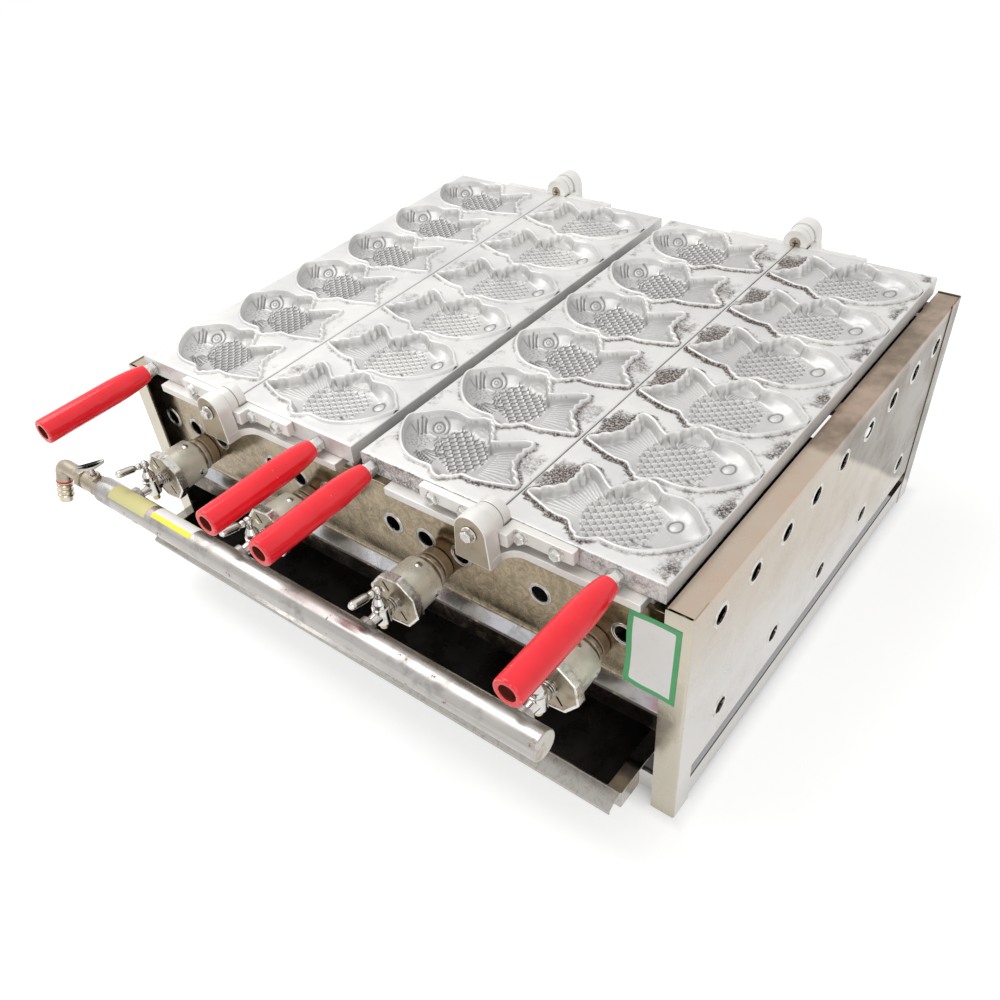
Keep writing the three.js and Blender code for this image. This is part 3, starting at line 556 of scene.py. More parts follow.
class Shader(Nodes):
    """Helper for one new material."""

    def __init__(self, name: str) -> None:
        """Makes the material and adds the shader, the output and the object coordinates."""
        self.material = bpy.data.materials.new(name)
        self.material.use_nodes = True
        super().__init__(self.material.node_tree)
        self.surface = self.node("ShaderNodeBsdfPrincipled")
        self.node("ShaderNodeOutputMaterial", {0: self.surface.outputs[0]})
        self.coordinates = self.node("ShaderNodeTexCoord").outputs["Object"]

    def noise(self, scale: float, detail: float = 3.0, rough: float = 0.5,
              stretch: Sequence[float] | None = None, warp: float = 0.0) -> bpy.types.NodeSocket:
        """Adds a noise pattern.

        Args:
            scale: Cells in a metre.
            detail: Octaves.
            rough: Roughness of the octaves.
            stretch: Scale along each axis, if it isn't even.
            warp: Distortion.

        Returns:
            The noise value.
        """
        place = self.coordinates
        if stretch:
            place = self.node("ShaderNodeMapping", {"Vector": place, "Scale": stretch}).outputs[0]
        made = self.node("ShaderNodeTexNoise", {
            "Vector": place, "Scale": scale, "Detail": detail, "Roughness": rough, "Distortion": warp})
        return made.outputs["Fac"]

    def cells(self, scale: float) -> bpy.types.NodeSocket:
        """Returns the distance from the middle of cells, so many in a metre."""
        made = self.node("ShaderNodeTexVoronoi", {"Vector": self.coordinates, "Scale": scale})
        return made.outputs["Distance"]

    def span(self, value: object, low: float, high: float, to_low: float = 0.0,
             to_high: float = 1.0) -> bpy.types.NodeSocket:
        """Maps a value from one span to another, held at the ends.

        Args:
            value: The value.
            low: Start of its span.
            high: End of its span.
            to_low: Result at the start.
            to_high: Result at the end.

        Returns:
            The mapped value.
        """
        ends = {"From Min": low, "From Max": high, "To Min": to_low, "To Max": to_high, "Value": value}
        return self.node("ShaderNodeMapRange", ends, clamp=True, interpolation_type="SMOOTHSTEP").outputs["Result"]

    def mix(self, share: object, first: object, second: object) -> bpy.types.NodeSocket:
        """Returns a mix of two colours."""
        colors = {6 + i: (*c, 1.0) if isinstance(c, tuple) else c for i, c in enumerate((first, second))}
        return self.node("ShaderNodeMix", {0: share, **colors}, data_type="RGBA").outputs[2]

    def mark(self) -> bpy.types.NodeSocket:
        """Returns the piece's own mark, for wear and for painted shade."""
        return self.node("ShaderNodeAttribute", attribute_name=MARK).outputs["Fac"]

    def axis_value(self, axis: str) -> bpy.types.NodeSocket:
        """Returns one object coordinate, in metres."""
        return self.node("ShaderNodeSeparateXYZ", {0: self.coordinates}).outputs[axis]

    def bump(self, height: bpy.types.NodeSocket, strength: float, distance: float) -> None:
        """Gives the surface relief, on top of any that it has.

        Args:
            height: Height pattern.
            strength: Strength of the bump.
            distance: Depth in metres.
        """
        made = self.node("ShaderNodeBump", {"Strength": strength, "Distance": distance, "Height": height})
        normal = self.surface.inputs["Normal"]
        if normal.is_linked:
            self.link(normal.links[0].from_socket, made.inputs["Normal"])
        self.link(made.outputs[0], normal)

    def set(self, **values: object) -> None:
        """Sets or links the shader's sockets, named with underscores for spaces."""
        names = {"color": "Base Color", "specular_ior_level": "Specular IOR Level"}
        for name, value in values.items():
            socket = self.surface.inputs[names.get(name, name.replace("_", " ").title())]
            self.feed(socket, (*value, 1.0) if isinstance(value, tuple) and len(value) == 3 else value)


@dataclass(frozen=True)
class CastFinish:
    """Bare cast aluminium: a mark above zero browns and soots it, as strong as its wear, and also paints shade at the
    foot of the cavities' walls; one below zero paints shade in the cavities' hollows.
    """

    name: str = "cast aluminium"
    bright: Triple = (0.78, 0.77, 0.75)
    dull: Triple = (0.68, 0.67, 0.66)
    # soot, and also the painted shade at the foot of the cavities' walls
    soot_and_shade: Triple = (0.035, 0.026, 0.022)
    browned: Triple = (0.33, 0.19, 0.11)
    wear_and_shade: float = 1.25
    # painted shade: grey laid into the cavities' hollows where the mark is below zero
    painted_shade: Triple = (0.13, 0.12, 0.12)

    def build(self) -> bpy.types.Material:
        """Builds the material and returns it."""
        make = Shader(self.name)
        base = make.mix(make.span(make.noise(14, 4, 0.6), 0.35, 0.7), self.bright, self.dull)
        mark = make.mark()
        # a mark below zero is painted shade: it greys the colour and dulls the metal
        hollow = make.math("MAXIMUM", make.math("MULTIPLY", mark, -1.0), 0.0)
        mark = make.math("MULTIPLY", make.math("MAXIMUM", mark, 0.0), self.wear_and_shade)
        grain = make.noise(400, 6, 0.8)
        patch = make.noise(70, 5, 0.7)
        soot_and_shade = make.math("ADD", mark, make.math("MULTIPLY", make.math("SUBTRACT", patch, 0.5), 1.3))
        soot_and_shade = make.math("MULTIPLY", make.span(soot_and_shade, 0.26, 0.85), make.span(grain, 0.40, 0.54))
        stain = make.span(make.math("ADD", mark, make.math("SUBTRACT", make.noise(35, 4, 0.6), 0.62)), 0.25, 0.9)
        color = make.mix(make.math("MULTIPLY", hollow, 0.85), base, self.painted_shade)
        color = make.mix(make.math("MULTIPLY", stain, 0.42), color, self.browned)
        color = make.mix(soot_and_shade, color, self.soot_and_shade)
        make.set(color=color, metallic=make.span(make.math("MAXIMUM", soot_and_shade, hollow), 0, 1, 0.6, 0.1),
                 roughness=make.span(make.math("ADD", make.noise(90, 4), soot_and_shade), 0.3, 1.2, 0.46, 0.64))
        make.bump(make.noise(420, 5, 0.6), 0.22, 0.0003)
        make.bump(grain, 0.15, 0.00015)
        return make.material


@dataclass(frozen=True)
class StainlessFinish:
    """Stainless sheet: fine grain, a painted warm reflection that rises with height and towards the rear, a painted
    dark reflection beyond a slanting line at the upper rear, heat tint near the top, spots and smears.
    """

    name: str = "stainless sheet"
    base: Triple = (0.62, 0.60, 0.57)
    # colour of the painted warm reflection
    warm: Triple = (0.54, 0.47, 0.38)
    tint: Triple = (0.56, 0.42, 0.33)
    rough: float = 0.2
    grain: Triple = (40.0, 4.0, 600.0)
    heat: tuple[float, float] = (0.262, 0.285)
    lean: float = 0.28
    turn: tuple[float, float] = (0.12, 0.22)
    swirl: float = 0.0
    # colour of the painted dark reflection
    rear: Triple = (0.13, 0.10, 0.065)
    slope: float = 0.766
    far: tuple[float, float] = (0.291, 0.301)
    spot: Triple = (0.2, 0.14, 0.09)

    def build(self) -> bpy.types.Material:
        """Builds the material and returns it."""
        make = Shader(self.name)
        height = make.axis_value("Z")
        # painted reflection: warmer higher up and further back, broken into smudges by the swirl
        level = make.math("ADD", make.math("MULTIPLY", make.axis_value("Y"), self.lean), height)
        level = make.math("ADD", level, make.math("MULTIPLY", make.noise(6, 3, 0.5), 0.05))
        warm = make.span(level, *self.turn)
        if self.swirl:
            swirl = make.noise(75, 5, 0.75, warp=2.2)
            warm = make.math("ADD", make.math("MULTIPLY", make.math("SUBTRACT", swirl, 0.5), self.swirl), warm)
            warm = make.math("MINIMUM", make.math("MAXIMUM", warm, 0.0), 1.0)
        # painted dark reflection beyond a slanting line at the upper rear
        slope = make.math("ADD", make.math("MULTIPLY", make.axis_value("Y"), self.slope), height)
        slope = make.math("ADD", slope, make.math("MULTIPLY", make.noise(9, 3, 0.5), 0.02))
        dark = make.span(slope, *self.far, 0.0, 0.9)
        heat = make.span(height, *self.heat)
        heat = make.math("MULTIPLY", heat, make.span(make.noise(22, 4, 0.6), 0.3, 0.7, 0.15, 0.9))
        color = make.mix(warm, self.base, self.warm)
        color = make.mix(dark, color, self.rear)
        spots = make.span(make.noise(55, 6, 0.75), 0.66, 0.74)
        color = make.mix(make.math("MULTIPLY", spots, 0.5), color, self.spot)
        color = make.mix(heat, color, self.tint)
        smear = make.noise(18, 5, 0.65, warp=0.4)
        streak = make.noise(1.0, 2, 0.5, stretch=self.grain)
        rough = make.math("ADD", make.span(smear, 0.3, 0.75, self.rough * 0.6, self.rough * 1.6),
                          make.math("MULTIPLY", streak, 0.06))
        make.set(color=color, metallic=1.0, roughness=rough)
        make.bump(make.noise(9, 2, 0.4), 0.15, 0.001)
        make.bump(streak, 0.06, 0.00006)
        return make.material


@dataclass(frozen=True)
class PlainMetalFinish:
    """Metal with a base colour, a second colour in clouds, grain, small dents and, if wanted, rust spots."""

    name: str
    base: Triple
    second: Triple
    rough: float = 0.3
    metal: float = 1.0
    cloud: float = 60.0
    share: tuple[float, float] = (0.45, 0.7)
    grain: float = 600.0
    depth: float = 0.00003
    rust: float = 0.0
    scratch: Triple | None = None
    rust_tone: Triple = (0.26, 0.12, 0.06)

    def build(self) -> bpy.types.Material:
        """Builds the material and returns it."""
        make = Shader(self.name)
        cloud = make.span(make.noise(self.cloud, 5, 0.65), *self.share)
        # the mark also brings in the second colour: on the burner necks it is painted shade
        wear_and_shade = make.math("MAXIMUM", cloud, make.mark())
        color = make.mix(wear_and_shade, self.base, self.second)
        rough = make.span(make.noise(self.cloud * 1.7, 4), 0.3, 0.7, self.rough * 0.75, self.rough * 1.4)
        if self.rust:
            rust = make.span(make.noise(70, 5, 0.7), 0.72 - self.rust, 0.76 - self.rust)
            color = make.mix(make.math("MULTIPLY", rust, 0.85), color, self.rust_tone)
            rough = make.math("ADD", rough, make.math("MULTIPLY", rust, 0.3))
        if self.scratch:
            lines = make.noise(1.0, 3, 0.6, stretch=self.scratch)
            color = make.mix(make.math("MULTIPLY", make.span(lines, 0.5, 0.75), 0.35), color, self.second)
            make.bump(lines, 0.1, 0.00005)
        make.set(color=color, metallic=self.metal, roughness=rough)
        make.bump(make.noise(self.grain, 4, 0.6), 0.25, self.depth)
        return make.material


@dataclass(frozen=True)
class FrontSheetFinish:
    """Swirled olive sheet with a painted swirl of reflection and a painted glare, over a pale ledge and a dark apron,
    told apart by height.
    """

    name: str = "front sheet"
    swirl_dark: Triple = (0.15, 0.115, 0.065)
    swirl_light: Triple = (0.36, 0.285, 0.185)
    ledge: Triple = (0.5, 0.5, 0.53)
    apron: Triple = (0.07, 0.055, 0.045)
    blotch: Triple = (0.3, 0.22, 0.14)
    levels: tuple[float, float] = (0.1424, 0.1512)
    blend: float = 0.0006
    run: Triple = (0.12, 0.1, 0.06)
    glare: Triple = (0.5, 0.43, 0.32)
    scuff: Triple = (0.36, 0.36, 0.36)

    def build(self) -> bpy.types.Material:
        """Builds the material and returns it."""
        make = Shader(self.name)
        height = make.axis_value("Z")
        # painted reflection in dark and light olive swirls
        swirl = make.span(make.noise(60, 6, 0.78, warp=2.6), 0.34, 0.66)
        runs = make.noise(1.0, 4, 0.6, stretch=(90.0, 20.0, 14.0))
        sheet = make.mix(swirl, self.swirl_dark, self.swirl_light)
        sheet = make.mix(make.math("MULTIPLY", make.span(runs, 0.52, 0.7), 0.45), sheet, self.run)
        # painted glare, strongest to the left
        pale = make.math("MULTIPLY", make.span(make.noise(11, 3, 0.5), 0.35, 0.65, 0.15, 0.8),
                         make.span(make.axis_value("X"), -0.3, 0.15, 1.0, 0.25))
        sheet = make.mix(pale, sheet, self.glare)
        ledge = make.mix(make.span(make.noise(30, 4, 0.7, warp=1.0), 0.5, 0.7), self.ledge, self.scuff)
        apron = make.mix(make.span(make.noise(45, 5, 0.7, warp=0.8), 0.5, 0.66), self.apron, self.blotch)
        color = make.mix(make.span(height, self.levels[1] - self.blend, self.levels[1] + self.blend), ledge, sheet)
        color = make.mix(make.span(height, self.levels[0] - self.blend, self.levels[0] + self.blend), apron, color)
        make.set(color=color, metallic=0.95, roughness=make.span(make.noise(24, 5, 0.7), 0.3, 0.7, 0.12, 0.3))
        make.bump(make.noise(8, 2, 0.4), 0.2, 0.001)
        make.bump(swirl, 0.05, 0.0001)
        return make.material


@dataclass(frozen=True)
class GripFinish:
    """Glossy red dipped coating, chipped pale where the mark says, with painted shade in its bore."""

    name: str = "red grip"
    red: Triple = (1.0, 0.02, 0.035)
    deep: Triple = (0.94, 0.012, 0.025)
    chip: Triple = (0.62, 0.38, 0.22)
    painted_mouth_shade: Triple = (0.16, 0.03, 0.02)

    def build(self) -> bpy.types.Material:
        """Builds the material and returns it."""
        make = Shader(self.name)
        mark = make.mark()
        worn = make.math("MULTIPLY", make.span(mark, 0.1, 0.5), make.span(mark, 0.6, 0.9, 1.0, 0.0))
        chips = make.math("ADD", worn, make.math("SUBTRACT", make.noise(240, 5, 0.75), 0.62))
        chips = make.span(chips, 0.72, 0.86)
        specks = make.math("MULTIPLY", make.span(make.cells(120), 0.05, 0.08, 1.0, 0.0),
                           make.span(make.noise(40, 2), 0.58, 0.62))
        color = make.mix(make.span(make.noise(30, 3), 0.35, 0.7), self.red, self.deep)
        # painted shade in the bore, where the mark is near one
        color = make.mix(make.span(mark, 0.8, 0.95), color, self.painted_mouth_shade)
        color = make.mix(make.math("MAXIMUM", chips, specks), color, self.chip)
        make.set(color=color, roughness=make.span(make.noise(50, 4), 0.3, 0.7, 0.13, 0.22), specular_ior_level=0.5)
        make.bump(make.noise(70, 2, 0.4), 0.04, 0.0003)
        make.bump(chips, 0.4, 0.0001)
        return make.material


@dataclass(frozen=True)
class PaperFinish:
    """Printed-over paper left blank: a field, and a border where the mark says."""

    name: str
    field: Triple
    border: Triple
    worn: Triple = (0.55, 0.5, 0.42)

    def build(self) -> bpy.types.Material:
        """Builds the material and returns it."""
        make = Shader(self.name)
        worn = make.math("MULTIPLY", make.span(make.noise(90, 5, 0.7), 0.5, 0.75), 0.12)
        plain = make.mix(worn, self.field, self.worn)
        edge = make.mix(worn, self.border, self.worn)
        make.set(color=make.mix(make.span(make.mark(), 0.45, 0.55), plain, edge), roughness=0.5)
        make.bump(make.noise(300, 4, 0.6), 0.15, 0.0001)
        return make.material


@dataclass
class Finishes:
    """All finishes of the griddle, built once."""

    def __post_init__(self) -> None:
        """Builds the materials."""
        self.plate = CastFinish().build()
        self.clean_plate = CastFinish("cleaner cast aluminium", (0.79, 0.78, 0.76), wear_and_shade=0.6).build()
        self.bearer = CastFinish("cast bearer", (0.86, 0.85, 0.82), (0.74, 0.72, 0.68)).build()
        # tan painted reflection on the pedestal's milled front face
        self.milled = PlainMetalFinish("milled face", (0.40, 0.34, 0.25), (0.27, 0.22, 0.15), 0.3, 0.8, 40).build()
        # near-black painted shade for the sheets' inner faces and the pin's cross slot
        self.sooty = PlainMetalFinish("sooty inside", (0.03, 0.027, 0.025), (0.06, 0.05, 0.04), 0.6, 0.3, 30).build()
        self.stainless = StainlessFinish().build()
        self.post = StainlessFinish("post angle", (0.56, 0.52, 0.43), (0.44, 0.38, 0.29), rough=0.26, swirl=0.5,
                                    grain=(600.0, 600.0, 5.0), heat=(0.5, 0.6), turn=(0.1, 0.5),
                                    rear=(0.3, 0.25, 0.19)).build()
        self.panel = FrontSheetFinish().build()
        self.lip = StainlessFinish("bright tray lip", (0.42, 0.4, 0.37), (0.1, 0.085, 0.06), (0.5, 0.45, 0.36), 0.12,
                                   (500.0, 4.0, 20.0), (0.5, 0.6), turn=(0.03, 0.09), swirl=2.2).build()
        # near-black painted shade for the tray's inside, under the frame
        self.tray = PlainMetalFinish("oily tray", (0.006, 0.005, 0.0045), (0.016, 0.013, 0.011), 0.28, 0.1, 24).build()
        self.galvanised = PlainMetalFinish("galvanised steel", (0.80, 0.78, 0.66), (0.64, 0.63, 0.52), 0.34, 0.4, 40,
                                           depth=0.00001).build()
        self.shutter = PlainMetalFinish("shutter face", (0.34, 0.29, 0.21), (0.22, 0.18, 0.12), 0.36, 0.9, 90,
                                        depth=0.00001).build()
        self.rim = PlainMetalFinish("bright rim", (0.72, 0.70, 0.66), (0.42, 0.38, 0.31), 0.25, 1, 130,
                                    depth=0.00001).build()
        self.iron = PlainMetalFinish("rusted iron", (0.58, 0.53, 0.44), (0.36, 0.27, 0.18), 0.45, 0.7, 110,
                                     (0.42, 0.62), 380, 0.0002).build()
        self.chrome = PlainMetalFinish("chrome", (0.66, 0.65, 0.62), (0.36, 0.34, 0.3), 0.14, 1, 120, (0.55, 0.8),
                                       depth=0.00001).build()
        self.zinc = PlainMetalFinish("zinc steel", (0.72, 0.72, 0.70), (0.5, 0.47, 0.42), 0.24, 1, 110).build()
        self.brass = PlainMetalFinish("dull brass", (0.62, 0.5, 0.3), (0.45, 0.36, 0.22), 0.35, 1, 90).build()
        self.nickel = PlainMetalFinish("dull nickel", (0.44, 0.38, 0.3), (0.3, 0.24, 0.17), 0.32, 0.95, 70).build()
        self.wing = PlainMetalFinish("wing lever", (0.55, 0.53, 0.49), (0.38, 0.36, 0.32), 0.3, 1, 60).build()
        self.barb = PlainMetalFinish("brassy barb", (0.66, 0.6, 0.48), (0.4, 0.33, 0.24), 0.22, 1, 90).build()
        self.seal = PlainMetalFinish("red seal", (0.7, 0.03, 0.015), (0.5, 0.02, 0.012), 0.4, 0.0, 90).build()
        self.pipe = PlainMetalFinish("silver paint", (0.46, 0.44, 0.42), (0.27, 0.25, 0.235), 0.28, 0.9, 16,
                                     (0.5, 0.66), rust=0.09, scratch=(6.0, 260.0, 260.0)).build()
        self.cap = PlainMetalFinish("pipe cap", (0.74, 0.71, 0.65), (0.5, 0.44, 0.36), 0.45, 0.5, 60).build()
        self.spring = PlainMetalFinish("spring wire", (0.55, 0.54, 0.52), (0.3, 0.27, 0.24), 0.3, 1, 200).build()
        self.grip = GripFinish().build()
        self.card = PaperFinish("green-edged card", (0.88, 0.88, 0.85), (0.09, 0.42, 0.16)).build()
        self.yellow = PaperFinish("pale yellow sticker", (0.72, 0.68, 0.30), (0.72, 0.68, 0.30)).build()
        self.white = PaperFinish("yellow-edged sticker", (0.9, 0.9, 0.88), (0.92, 0.88, 0.04)).build()


class GeometryTree(Nodes):
    """A geometry node tree with named inputs."""

    def __init__(self, name: str) -> None:
        """Makes the tree with a geometry input and output."""
        super().__init__(bpy.data.node_groups.new(name, "GeometryNodeTree"))
        self.name = name
        for direction in ("INPUT", "OUTPUT"):
            self.tree.interface.new_socket("Geometry", in_out=direction, socket_type="NodeSocketGeometry")
        self.source = self.tree.nodes.new("NodeGroupInput")
        self.sink = self.tree.nodes.new("NodeGroupOutput")

    def input(self, name: str, kind: str, default: object = None) -> bpy.types.NodeSocket:
        """Adds a named input.

        Args:
            name: Its name.
            kind: Socket type.
            default: Value that it starts with.

        Returns:
            The group input's socket.
        """
        made = self.tree.interface.new_socket(name, in_out="INPUT", socket_type=kind)
        if default is not None:
            made.default_value = default
        return self.source.outputs[name]

    def close(self, geometry: bpy.types.NodeSocket, finish: bpy.types.NodeSocket) -> None:
        """Ends the tree in Realize Instances and Set Material."""
        real = self.node("GeometryNodeRealizeInstances", {"Geometry": geometry})
        dress = self.node("GeometryNodeSetMaterial", {"Geometry": real.outputs[0], "Material": finish})
        self.link(dress.outputs[0], self.sink.inputs[0])

    def run(self, draft: Draft, values: dict[str, object]) -> bpy.types.Mesh:
        """Runs the tree on the points of a draft.

        Args:
            draft: Points in drawing millimetres.
            values: Values of the named inputs.

        Returns:
            The plain mesh that comes out.
        """
        mesh = bpy.data.meshes.new(self.name)
        mesh.from_pydata(metres(draft.points), [], draft.faces)
        holder = bpy.data.objects.new(self.name, mesh)
        modifier = holder.modifiers.new("nodes", "NODES")
        modifier.node_group = self.tree
        names = {item.name: item.identifier for item in self.tree.interface.items_tree if item.in_out == "INPUT"}
        for name, value in values.items():
            modifier[names[name]] = value
        return settle(holder)


class FittingTree(GeometryTree):
    """Sets a fitting on every point, facing one way and turned at random."""

    def __init__(self) -> None:
        """Builds the tree."""
        super().__init__("set fittings")
        shape = self.input("Fitting", "NodeSocketObject")
        facing = self.input("Facing", "NodeSocketVector", (0.0, 0.0, 0.0))
        size = self.input("Size", "NodeSocketFloat", 1.0)
        turn = self.input("Turn", "NodeSocketFloat", math.tau)
        seed = self.input("Seed", "NodeSocketInt", 7)
        finish = self.input("Finish", "NodeSocketMaterial")
        info = self.node("GeometryNodeObjectInfo", {"Object": shape})
        rotation = self.node("FunctionNodeEulerToRotation", {"Euler": facing})
        instances = self.node("GeometryNodeInstanceOnPoints", {
            "Points": self.source.outputs[0], "Instance": info.outputs["Geometry"],
            "Rotation": rotation.outputs[0], "Scale": size})
        spin = self.node("FunctionNodeRandomValue", {"Seed": seed, 3: turn}, data_type="FLOAT")
        turned = self.node("ShaderNodeCombineXYZ", {"Z": spin.outputs[1]})
        rotated = self.node("GeometryNodeRotateInstances", {
            "Instances": instances.outputs[0], "Rotation": turned.outputs[0], "Local Space": True})
        self.close(rotated.outputs[0], finish)


class SpringTree(GeometryTree):
    """Winds a wire into a spring on every point."""

    def __init__(self) -> None:
        """Builds the tree."""
        super().__init__("wind spring")
        turns = self.input("Turns", "NodeSocketFloat", 3.0)
        radius = self.input("Radius", "NodeSocketFloat", 0.0076)
        length = self.input("Length", "NodeSocketFloat", 0.0072)
        wire = self.input("Wire", "NodeSocketFloat", 0.0008)
        facing = self.input("Facing", "NodeSocketVector", (0.0, 0.0, 0.0))
        finish = self.input("Finish", "NodeSocketMaterial")
        spiral = self.node("GeometryNodeCurveSpiral", {
            "Resolution": 28, "Rotations": turns, "Start Radius": radius, "End Radius": radius, "Height": length})
        section = self.node("GeometryNodeCurvePrimitiveCircle", {"Resolution": 10, "Radius": wire})
        tube = self.node("GeometryNodeCurveToMesh", {
            "Curve": spiral.outputs[0], "Profile Curve": section.outputs[0], "Fill Caps": True})
        rotation = self.node("FunctionNodeEulerToRotation", {"Euler": facing})
        instances = self.node("GeometryNodeInstanceOnPoints", {
            "Points": self.source.outputs[0], "Instance": tube.outputs[0], "Rotation": rotation.outputs[0]})
        self.close(instances.outputs[0], finish)


@dataclass
class Workshop:
    """Turns drafts into objects of the scene and logs them."""

    finishes: Finishes
    fittings: FittingTree = field(default_factory=FittingTree)
    springs: SpringTree = field(default_factory=SpringTree)

    def piece(self, name: str, mesh: bpy.types.Mesh, materials: Sequence[bpy.types.Material], body: str, slot: str,
              stands_for: Sequence[str] = ()) -> bpy.types.Object:
        """Puts a mesh in the scene as a piece that rides on a body.

        Args:
            name: Name of the piece.
            mesh: Its mesh.
            materials: Its materials, in slot order.
            body: Body that it moves with.
            slot: The record's material slot. Not used.
            stands_for: CAD nodes that it replaces.

        Returns:
            The object.
        """
        made = bpy.data.objects.new(name, mesh)
        kept = finish_slots(mesh)
        mesh.materials.clear()
        for material in materials:
            mesh.materials.append(material)
        mesh.polygons.foreach_set("material_index", kept)
        bpy.context.scene.collection.objects.link(made)
        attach(made, body)
        if stands_for:
            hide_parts(*stands_for)
            self.compare(made, stands_for)
        log.info("piece %s: %d faces", name, len(mesh.polygons))
        return made

    def compare(self, made: bpy.types.Object, nodes: Sequence[str]) -> None:
        """Logs how far a piece's box is from the box of the nodes that it replaces."""
        points = np.array([v.co for v in made.data.vertices])
        corners = [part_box(node) for node in nodes]
        low = np.min([c[0] for c in corners], axis=0)
        high = np.max([c[1] for c in corners], axis=0)
        off = np.concatenate([points.min(0) - low, points.max(0) - high]) * 1000
        if np.abs(off).max() > 0.8:
            log.info("box of %s differs by %s mm", made.name, np.round(off, 1).tolist())

    def fitting(self, name: str, template: bpy.types.Mesh, points: Sequence[Vector], facing: Vector,
                material: bpy.types.Material, body: str, slot: str, seed: int = 7) -> bpy.types.Object:
        """Sets a small fitting on each point with the geometry node tree.

        Args:
            name: Name of the piece.
            template: Mesh of one fitting, its foot at the origin and its head along Z.
            points: Where fittings go, in drawing millimetres.
            facing: Euler angles of their heads.
            material: Their finish.
            body: Body that they move with.
            slot: The record's material slot.
            seed: Seed of the random turns about their own line.

        Returns:
            The object.
        """
        shape = bpy.data.objects.new(f"{name}.shape", template)
        bpy.context.scene.collection.objects.link(shape)
        draft = Draft()
        draft.add(points, [])
        mesh = self.fittings.run(draft, {"Fitting": shape, "Facing": tuple(facing), "Size": 1.0, "Turn": math.tau,
                                         "Seed": seed, "Finish": material})
        bpy.data.objects.remove(shape)
        mesh.name = name
        return self.piece(name, mesh, [material], body, slot)


Drawer = Callable[[Draft], None]
FOOT_DEPTH = 0.4


def template_mesh(name: str, shape: Drawer) -> bpy.types.Mesh:
    """Makes the mesh of one fitting round the origin, in metres.

    Args:
        name: Name of the mesh.
        shape: Draws it into a draft.

    Returns:
        The mesh.
    """
    draft = Draft()
    shape(draft)
    draft.points = [p - DRAWING_SHIFT for p in draft.points]
    return draft.mesh(name)


def hex_bolt(across: float, height: float) -> Drawer:
    """Returns a drawer of a bolt head with chamfered corners and a washer face.

    Args:
        across: Radius over the corners.
        height: Height of the head.

    Returns:
        The drawer.
    """

    def draw(draft: Draft) -> None:
        """Draws the bolt head."""
        hexagon = soften(round_outline(across, 6), across * 0.12, closed=True, steps=2)
        dome = [(u * 0.84, v * 0.84) for u, v in hexagon]
        top = [(u * 0.55, v * 0.55) for u, v in hexagon]
        rings = [(hexagon, -FOOT_DEPTH), (hexagon, height * 0.72), (dome, height * 0.95), (top, height)]
        draft.loft([[Vector((u, v, w)) for u, v in ring] for ring, w in rings])
        washer = [(across * 1.12, -FOOT_DEPTH), (across * 1.12, 0.8), (across * 1.04, 1.15), (0, 1.15)]
        draft.turn(washer, Axis.Z, Vector(), 28)

    return draw


def screw_head(radius: float, height: float, slotted: bool = True) -> Drawer:
    """Returns a drawer of a domed screw head.

    Args:
        radius: Its radius.
        height: Its height.
        slotted: Whether a driver slot shows.

    Returns:
        The drawer.
    """

    def draw(draft: Draft) -> None:
        """Draws the screw head."""
        profile = [(radius, -FOOT_DEPTH), (radius, height * 0.35), (radius * 0.86, height * 0.78),
                   (radius * 0.5, height), (0, height * (0.7 if slotted else 1.0))]
        draft.turn(profile, Axis.Z, Vector(), 20)

    return draw


def vent_rim(radius: float) -> Drawer:
    """Returns a drawer of the burred rim of a punched hole.

    Args:
        radius: Radius of the hole.

    Returns:
        The drawer.
    """

    def draw(draft: Draft) -> None:
        """Draws the rim."""
        profile = [(radius - 0.3, -1.2), (radius - 0.3, 0.4), (radius + 0.2, 0.78), (radius + 0.9, 0.7),
                   (radius + 1.5, 0.12), (radius + 2.4, 0.1), (radius + 2.9, 0.5), (radius + 3.4, 0.4),
                   (radius + 3.9, -0.3), (radius - 0.3, -1.2)]
        draft.turn(profile, Axis.Z, Vector(), 36)

    return draw


@dataclass(frozen=True)
class Layout:
    """Places that several sub-assemblies share, in drawing millimetres."""

    front_face: float = -295.0
    rear_face: float = 295.0
    frame_front: float = -303.2
    frame_rear: float = 298.2
    frame_inner: float = 347.4
    frame_half: float = 372.9
    frame_height: float = 280.8
    inner_half: float = 370.6
    plate_bottom: float = 276.2
    plate_top: float = 297.5
    axis_z: float = 301.0
    bearer_top: float = 275.9
    bearer_bottom: float = 266.9
    panel_top: float = 258.0
    panel_front: float = -288.0
    burner_z: float = 186.5
    spindle_y: float = -374.9
    inlet: float = 16.8
    burner_xs: tuple[float, ...] = (-278.93, -98.07, 86.14, 270.35)
    hinge_xs: tuple[float, float] = (-175.15, 175.15)
    units: tuple[str, str] = ("left", "right")


LAYOUT = Layout()


